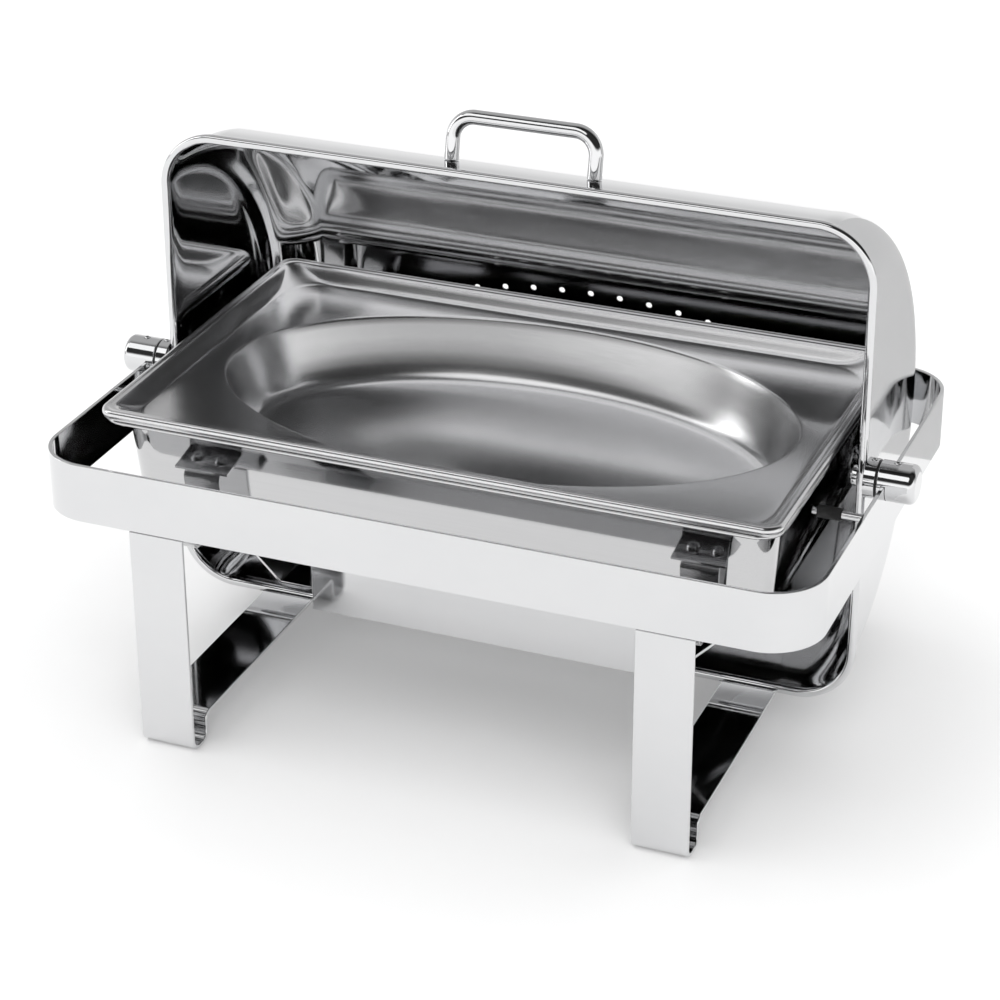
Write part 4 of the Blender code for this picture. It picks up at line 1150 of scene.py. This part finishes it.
rest_bore = rest_radius + RUNNING_GAP
spot = (0, rest.y, rest.z)
sleeve = collar("right_sleeve", rest_bore, sleeve_radius, sleeve_low.x, sleeve_high.x, spot, 40)
both_sides(soften(sleeve, SLEEVE_EDGE, 3), "black_rubber", "frame", "rest_sleeve")

# %% [markdown]
# ## The burner shelf
# A wide strip hangs between the carrying strips. It holds two open cups for fuel cans, each with a flat
# cover that swings aside on a post, and an upright plate that hides the flames from the front.
# %% Shelf and guard
SHELF_SHEET = 0.002
SHELF_RISE = 0.028
SHELF_TAB = 0.012
GUARD_SHEET = 0.0015
GUARD_FOOT_WIDTH = 0.020
GUARD_FOOT_INSET = 0.0417

shelf_low, shelf_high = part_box("burner_shelf")
guard_low, guard_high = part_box("burner_guard")


def hanging_shelf():
    """The strip with sloping ends and tabs that turn outwards under the carrying strips."""
    half = SHELF_SHEET / 2
    floor = shelf_low.z + half
    tab = shelf_high.z - half
    outer = shelf_high.x - SHELF_TAB
    right = [(outer - SHELF_RISE, floor), (outer, floor + SHELF_RISE), (outer, tab), (shelf_high.x, tab)]
    corners = [(-x, shelf_low.y, z) for x, z in reversed(right)] + [(x, shelf_low.y, z) for x, z in right]
    return strip_along("shelf", corners, 2 * SHELF_SHEET, SHELF_SHEET, (0, shelf_high.y - shelf_low.y, 0))


fit(soften(hanging_shelf()), "mirror_steel", "frame", "burner_shelf")


def guard_plate():
    """The upright plate, on two feet against the shelf's front edge."""
    plate = box("guard", guard_low, (guard_high.x, guard_low.y + GUARD_SHEET, guard_high.z))
    for sign in SIDES.values():
        x = sign * (guard_high.x - GUARD_FOOT_INSET)
        low = (x - GUARD_FOOT_WIDTH / 2, guard_low.y + GUARD_SHEET / 2, shelf_low.z)
        high = (x + GUARD_FOOT_WIDTH / 2, guard_high.y, shelf_low.z + SHELF_SHEET)
        cut(plate, box("foot", low, high), "UNION")
    return soften(plate, FINE_EDGE, 3)


fit(guard_plate(), "mirror_steel", "frame", "burner_guard")

# %% [markdown]
# ## Fuel cups, posts and covers
# Cups, posts and knobs are turned. A cover is a flat disc with a lug, made around its post at the origin,
# so that one turn swings it aside to where it stands while the fuel burns.
# %% Fuel cups, posts and covers
CUP_WALL = 0.0012
CUP_LIP = 0.0015
POST_RADIUS = 0.003
POST_HEAD = 0.002
COVER_SHEET = 0.0015
COVER_RADIUS = 0.044
LUG_RADIUS = 0.007
COVER_OPEN = math.radians(100)
GRIP_EDGE = 0.0008

cup_low, cup_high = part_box("right_fuel_cup")
cup_x = (cup_low.x + cup_high.x) / 2
cup_radius = cup_high.y
post_low, post_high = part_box("right_cover_pin")
post = (post_low + post_high) / 2
knob_low, knob_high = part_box("right_cover_knob")
cover_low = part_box("right_snuffer_cover")[0]


def fuel_cup():
    """A thin turned cup with a small lip rolled outwards."""
    tall = cup_high.z - cup_low.z
    wall = cup_radius - CUP_LIP
    inside = wall - CUP_WALL
    corners = [(0, 0, 0), (wall, 0, 0), (wall, 0, tall - 2 * CUP_LIP), (cup_radius, 0, tall - CUP_LIP)]
    corners += [(cup_radius, 0, tall), (inside, 0, tall), (inside, 0, CUP_WALL), (0, 0, CUP_WALL)]
    return soften(spun("right_cup", corners, steps=80), FINE_EDGE, 3)


both_sides(place(fuel_cup(), (cup_x, 0, cup_low.z)), "satin_steel", "frame", "fuel_cup")


def cover_post():
    """A post with a flat head, standing over the origin."""
    head = post_high.y - post.y
    neck = post_high.z - POST_HEAD
    corners = [(0, 0, post_high.z), (head, 0, post_high.z), (head, 0, neck)]
    corners += [(POST_RADIUS, 0, neck), (POST_RADIUS, 0, post_low.z), (0, 0, post_low.z)]
    return soften(spun("right_post", corners, steps=32), FINE_EDGE, 3)


both_sides(place(cover_post(), (post.x, post.y, 0)), "mirror_steel", "frame", "cover_pin")

def snuffer():
    """A flat disc with a lug, bored for its post."""
    reach = post.y
    cover = round_bar("right_snuffer", COVER_RADIUS, (0, -reach, 0), (0, -reach, COVER_SHEET), 96)
    cut(cover, round_bar("lug", LUG_RADIUS, (0, 0, 0), (0, 0, COVER_SHEET), 48), "UNION")
    drill(cover, POST_RADIUS + RUNNING_GAP, -DRILL_REACH, DRILL_REACH)
    return soften(cover, THIN_EDGE)


cover = place(snuffer(), (post.x, post.y, cover_low.z), (0, 0, -COVER_OPEN))
both_sides(cover, "satin_steel", "{}_cover", "snuffer_cover")


def cover_grip():
    """The small turned knob on a cover."""
    wide = (knob_high.x - knob_low.x) / 2
    tall = knob_high.z - knob_low.z
    outline = [(0, 1), (0.7, 0.97), (1, 0.7), (0.9, 0.45), (0.5, 0.3), (0.5, 0), (0, 0)]
    corners = [(out * wide, 0, up * tall) for out, up in outline]
    grip = soften(spun("right_cover_grip", corners, steps=48), GRIP_EDGE, 3, 15)
    return place(grip, ((knob_low.x + knob_high.x) / 2, (knob_low.y + knob_high.y) / 2, knob_low.z))


both_sides(cover_grip(), "mirror_steel", "{}_cover", "cover_knob")

# %% [markdown]
# ## Floor, light and view
# Polished steel shows its surroundings more than itself, so the surroundings are part of the model's look.
# The floor is a bright pale sheet. The world is dark in front and bright behind for reflections, but plain
# white to the eye. Soft boxes that only the steel can see give it its long highlights.
# %% Floor
FLOOR_SIZE = 12.0

bpy.ops.mesh.primitive_plane_add(size=FLOOR_SIZE, location=(0, 0, 0))
floor = settle(bpy.context.object)
floor.name = "floor"
paint = Paint("floor_paper", Roughness=1.0, Specular_IOR_Level=0.0)
paint.feed("Base Color", paint.tint(paint.noise(3.0, detail=2.0), (0.93, 0.93, 0.93), (0.95, 0.95, 0.95)))
floor.data.materials.append(paint.material)
floor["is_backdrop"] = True
print("floor:", FLOOR_SIZE, "m wide")

# %% [markdown]
# ## The world
# One direction, level and away from the viewer, divides the world. Ahead it is bright and fades upwards.
# Behind the viewer it is dark with a pale strip at the horizon, which draws the soft bands in the front's
# polished faces.
# %% World
WORLD_FRONT = 0.03
WORLD_HORIZON = 0.95
WORLD_HIGH = 0.50
WORLD_STRIP = 1.3
WORLD_PALE = 0.95
VIEW_FORWARD = (-0.368, 0.930, 0.0)

world = bpy.data.worlds.new("studio")
bpy.context.scene.world = world
world.use_nodes = True
world.node_tree.nodes.clear()
studio = Nodes(world.node_tree)

where = studio.node("ShaderNodeTexCoord", out=0)
height = studio.node("ShaderNodeSeparateXYZ", {0: where}, out=2)
ahead = studio.node("ShaderNodeVectorMath", {0: where, 1: VIEW_FORWARD}, out=1, operation="DOT_PRODUCT")
in_front = studio.between(ahead, 0.0, 1.0, -0.1, 0.4)
behind = studio.between(ahead, 0.0, 1.0, 0.1, -0.4)
far = studio.between(height, WORLD_HORIZON, WORLD_HIGH, 0.0, 0.5) * in_front
near = studio.between(height, WORLD_FRONT, WORLD_STRIP, 0.34, 0.16) * behind
reflected = studio.node("ShaderNodeLightPath", out=3)
strength = studio.node("ShaderNodeMix", {0: reflected, 2: WORLD_PALE, 3: far + near})
seen = studio.node("ShaderNodeLightPath", out=0)
strength = studio.node("ShaderNodeMix", {0: seen, 2: strength, 3: 1.0})
shine = studio.node("ShaderNodeBackground", {"Color": (1, 1, 1, 1), "Strength": strength})
surface = studio.tree.nodes.new("ShaderNodeOutputWorld").inputs["Surface"]
studio.tree.links.new(shine.socket, surface)
print("world:", len(studio.tree.nodes), "nodes")

# %% [markdown]
# ## Lights
# Two broad suns light the floor and the dull parts, and the steel does not see them. Two soft boxes work
# the other way round: only the steel sees them.
# %% Lights
MIDDLE = (0, 0, 0)


def aimed(name, kind, spot, aim, power, glossy):
    """A light at a spot, aimed at a point, seen or not seen in the steel."""
    lamp = bpy.data.objects.new(name, bpy.data.lights.new(name, kind))
    lamp.data.energy = power
    bpy.context.scene.collection.objects.link(lamp)
    lamp.location = spot
    lamp.rotation_euler = (Vector(aim) - Vector(spot)).to_track_quat("-Z", "Y").to_euler()
    lamp.visible_glossy = glossy
    lamp.visible_camera = False
    return lamp


def soft_box(name, spot, aim, size, power):
    """A rectangular light that shows in the steel."""
    lamp = aimed(name, "AREA", spot, aim, power, True)
    lamp.data.shape = "RECTANGLE"
    lamp.data.size, lamp.data.size_y = size
    lamp.visible_diffuse = False
    return lamp


key = aimed("key", "SUN", (-1.2, -0.3, 3.0), MIDDLE, 0.45, False)
key.data.angle = math.radians(35)
fill = aimed("fill", "SUN", (0.6, -2.0, 1.3), MIDDLE, 0.8, False)
fill.data.angle = math.radians(60)
soft_box("left_box", (-1.8, -0.5, 1.1), (0, 0, 0.3), (0.5, 1.4), 6)
soft_box("top_box", (-0.7, -1.1, 1.9), (0, 0, 0.25), (2.2, 0.9), 8)

# %% [markdown]
# ## A grey card
# A card stands behind the dish to the right. Only the steel sees it, and it keeps the lid's end from going
# white.
# %% Grey card
CARD_GREY = 0.60
CARD_SPOT = (0.72, 0.5, 0.32)

bpy.ops.mesh.primitive_plane_add(size=1.0, location=CARD_SPOT, rotation=(math.pi / 2, 0, 0))
card = settle(bpy.context.object)
card.name = "grey_card"
paint = Paint("card_paper", Roughness=1.0, Specular_IOR_Level=0.0)
paint.feed("Base Color", paint.tint(paint.noise(3.0), (CARD_GREY,) * 3, (CARD_GREY * 1.05,) * 3))
card.data.materials.append(paint.material)
card.visible_camera = False
card.visible_diffuse = False
card.visible_shadow = False
card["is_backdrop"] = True
print("grey card at", CARD_SPOT)

# %% [markdown]
# ## The camera
# A long lens from the front right, looking down a little. The shift moves the picture on the sensor, not
# the view.
# %% Camera
LENS = 103.1
SHIFT = (-0.0168, -0.0084)
CAMERA_SPOT = (0.7356, -1.8326, 1.1658)
LOOK_DOWN = 0.470
LOOK_LEFT = 0.3773

camera_data = bpy.data.cameras.new("view")
camera_data.lens = LENS
camera_data.sensor_width = 36.0
camera_data.shift_x, camera_data.shift_y = SHIFT
camera = bpy.data.objects.new("view", camera_data)
camera.location = CAMERA_SPOT
camera.rotation_euler = (math.pi / 2 - LOOK_DOWN, 0, LOOK_LEFT)
bpy.context.scene.collection.objects.link(camera)
bpy.context.scene.camera = camera
bpy.context.scene.view_settings.view_transform = "Standard"
print("camera:", LENS, "mm lens")

# %% [markdown]
# ## Size
# The box of the finished pieces is printed.
# %% Size
low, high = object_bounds()
print("visual box:", [round(c, 4) for c in low], [round(c, 4) for c in high])
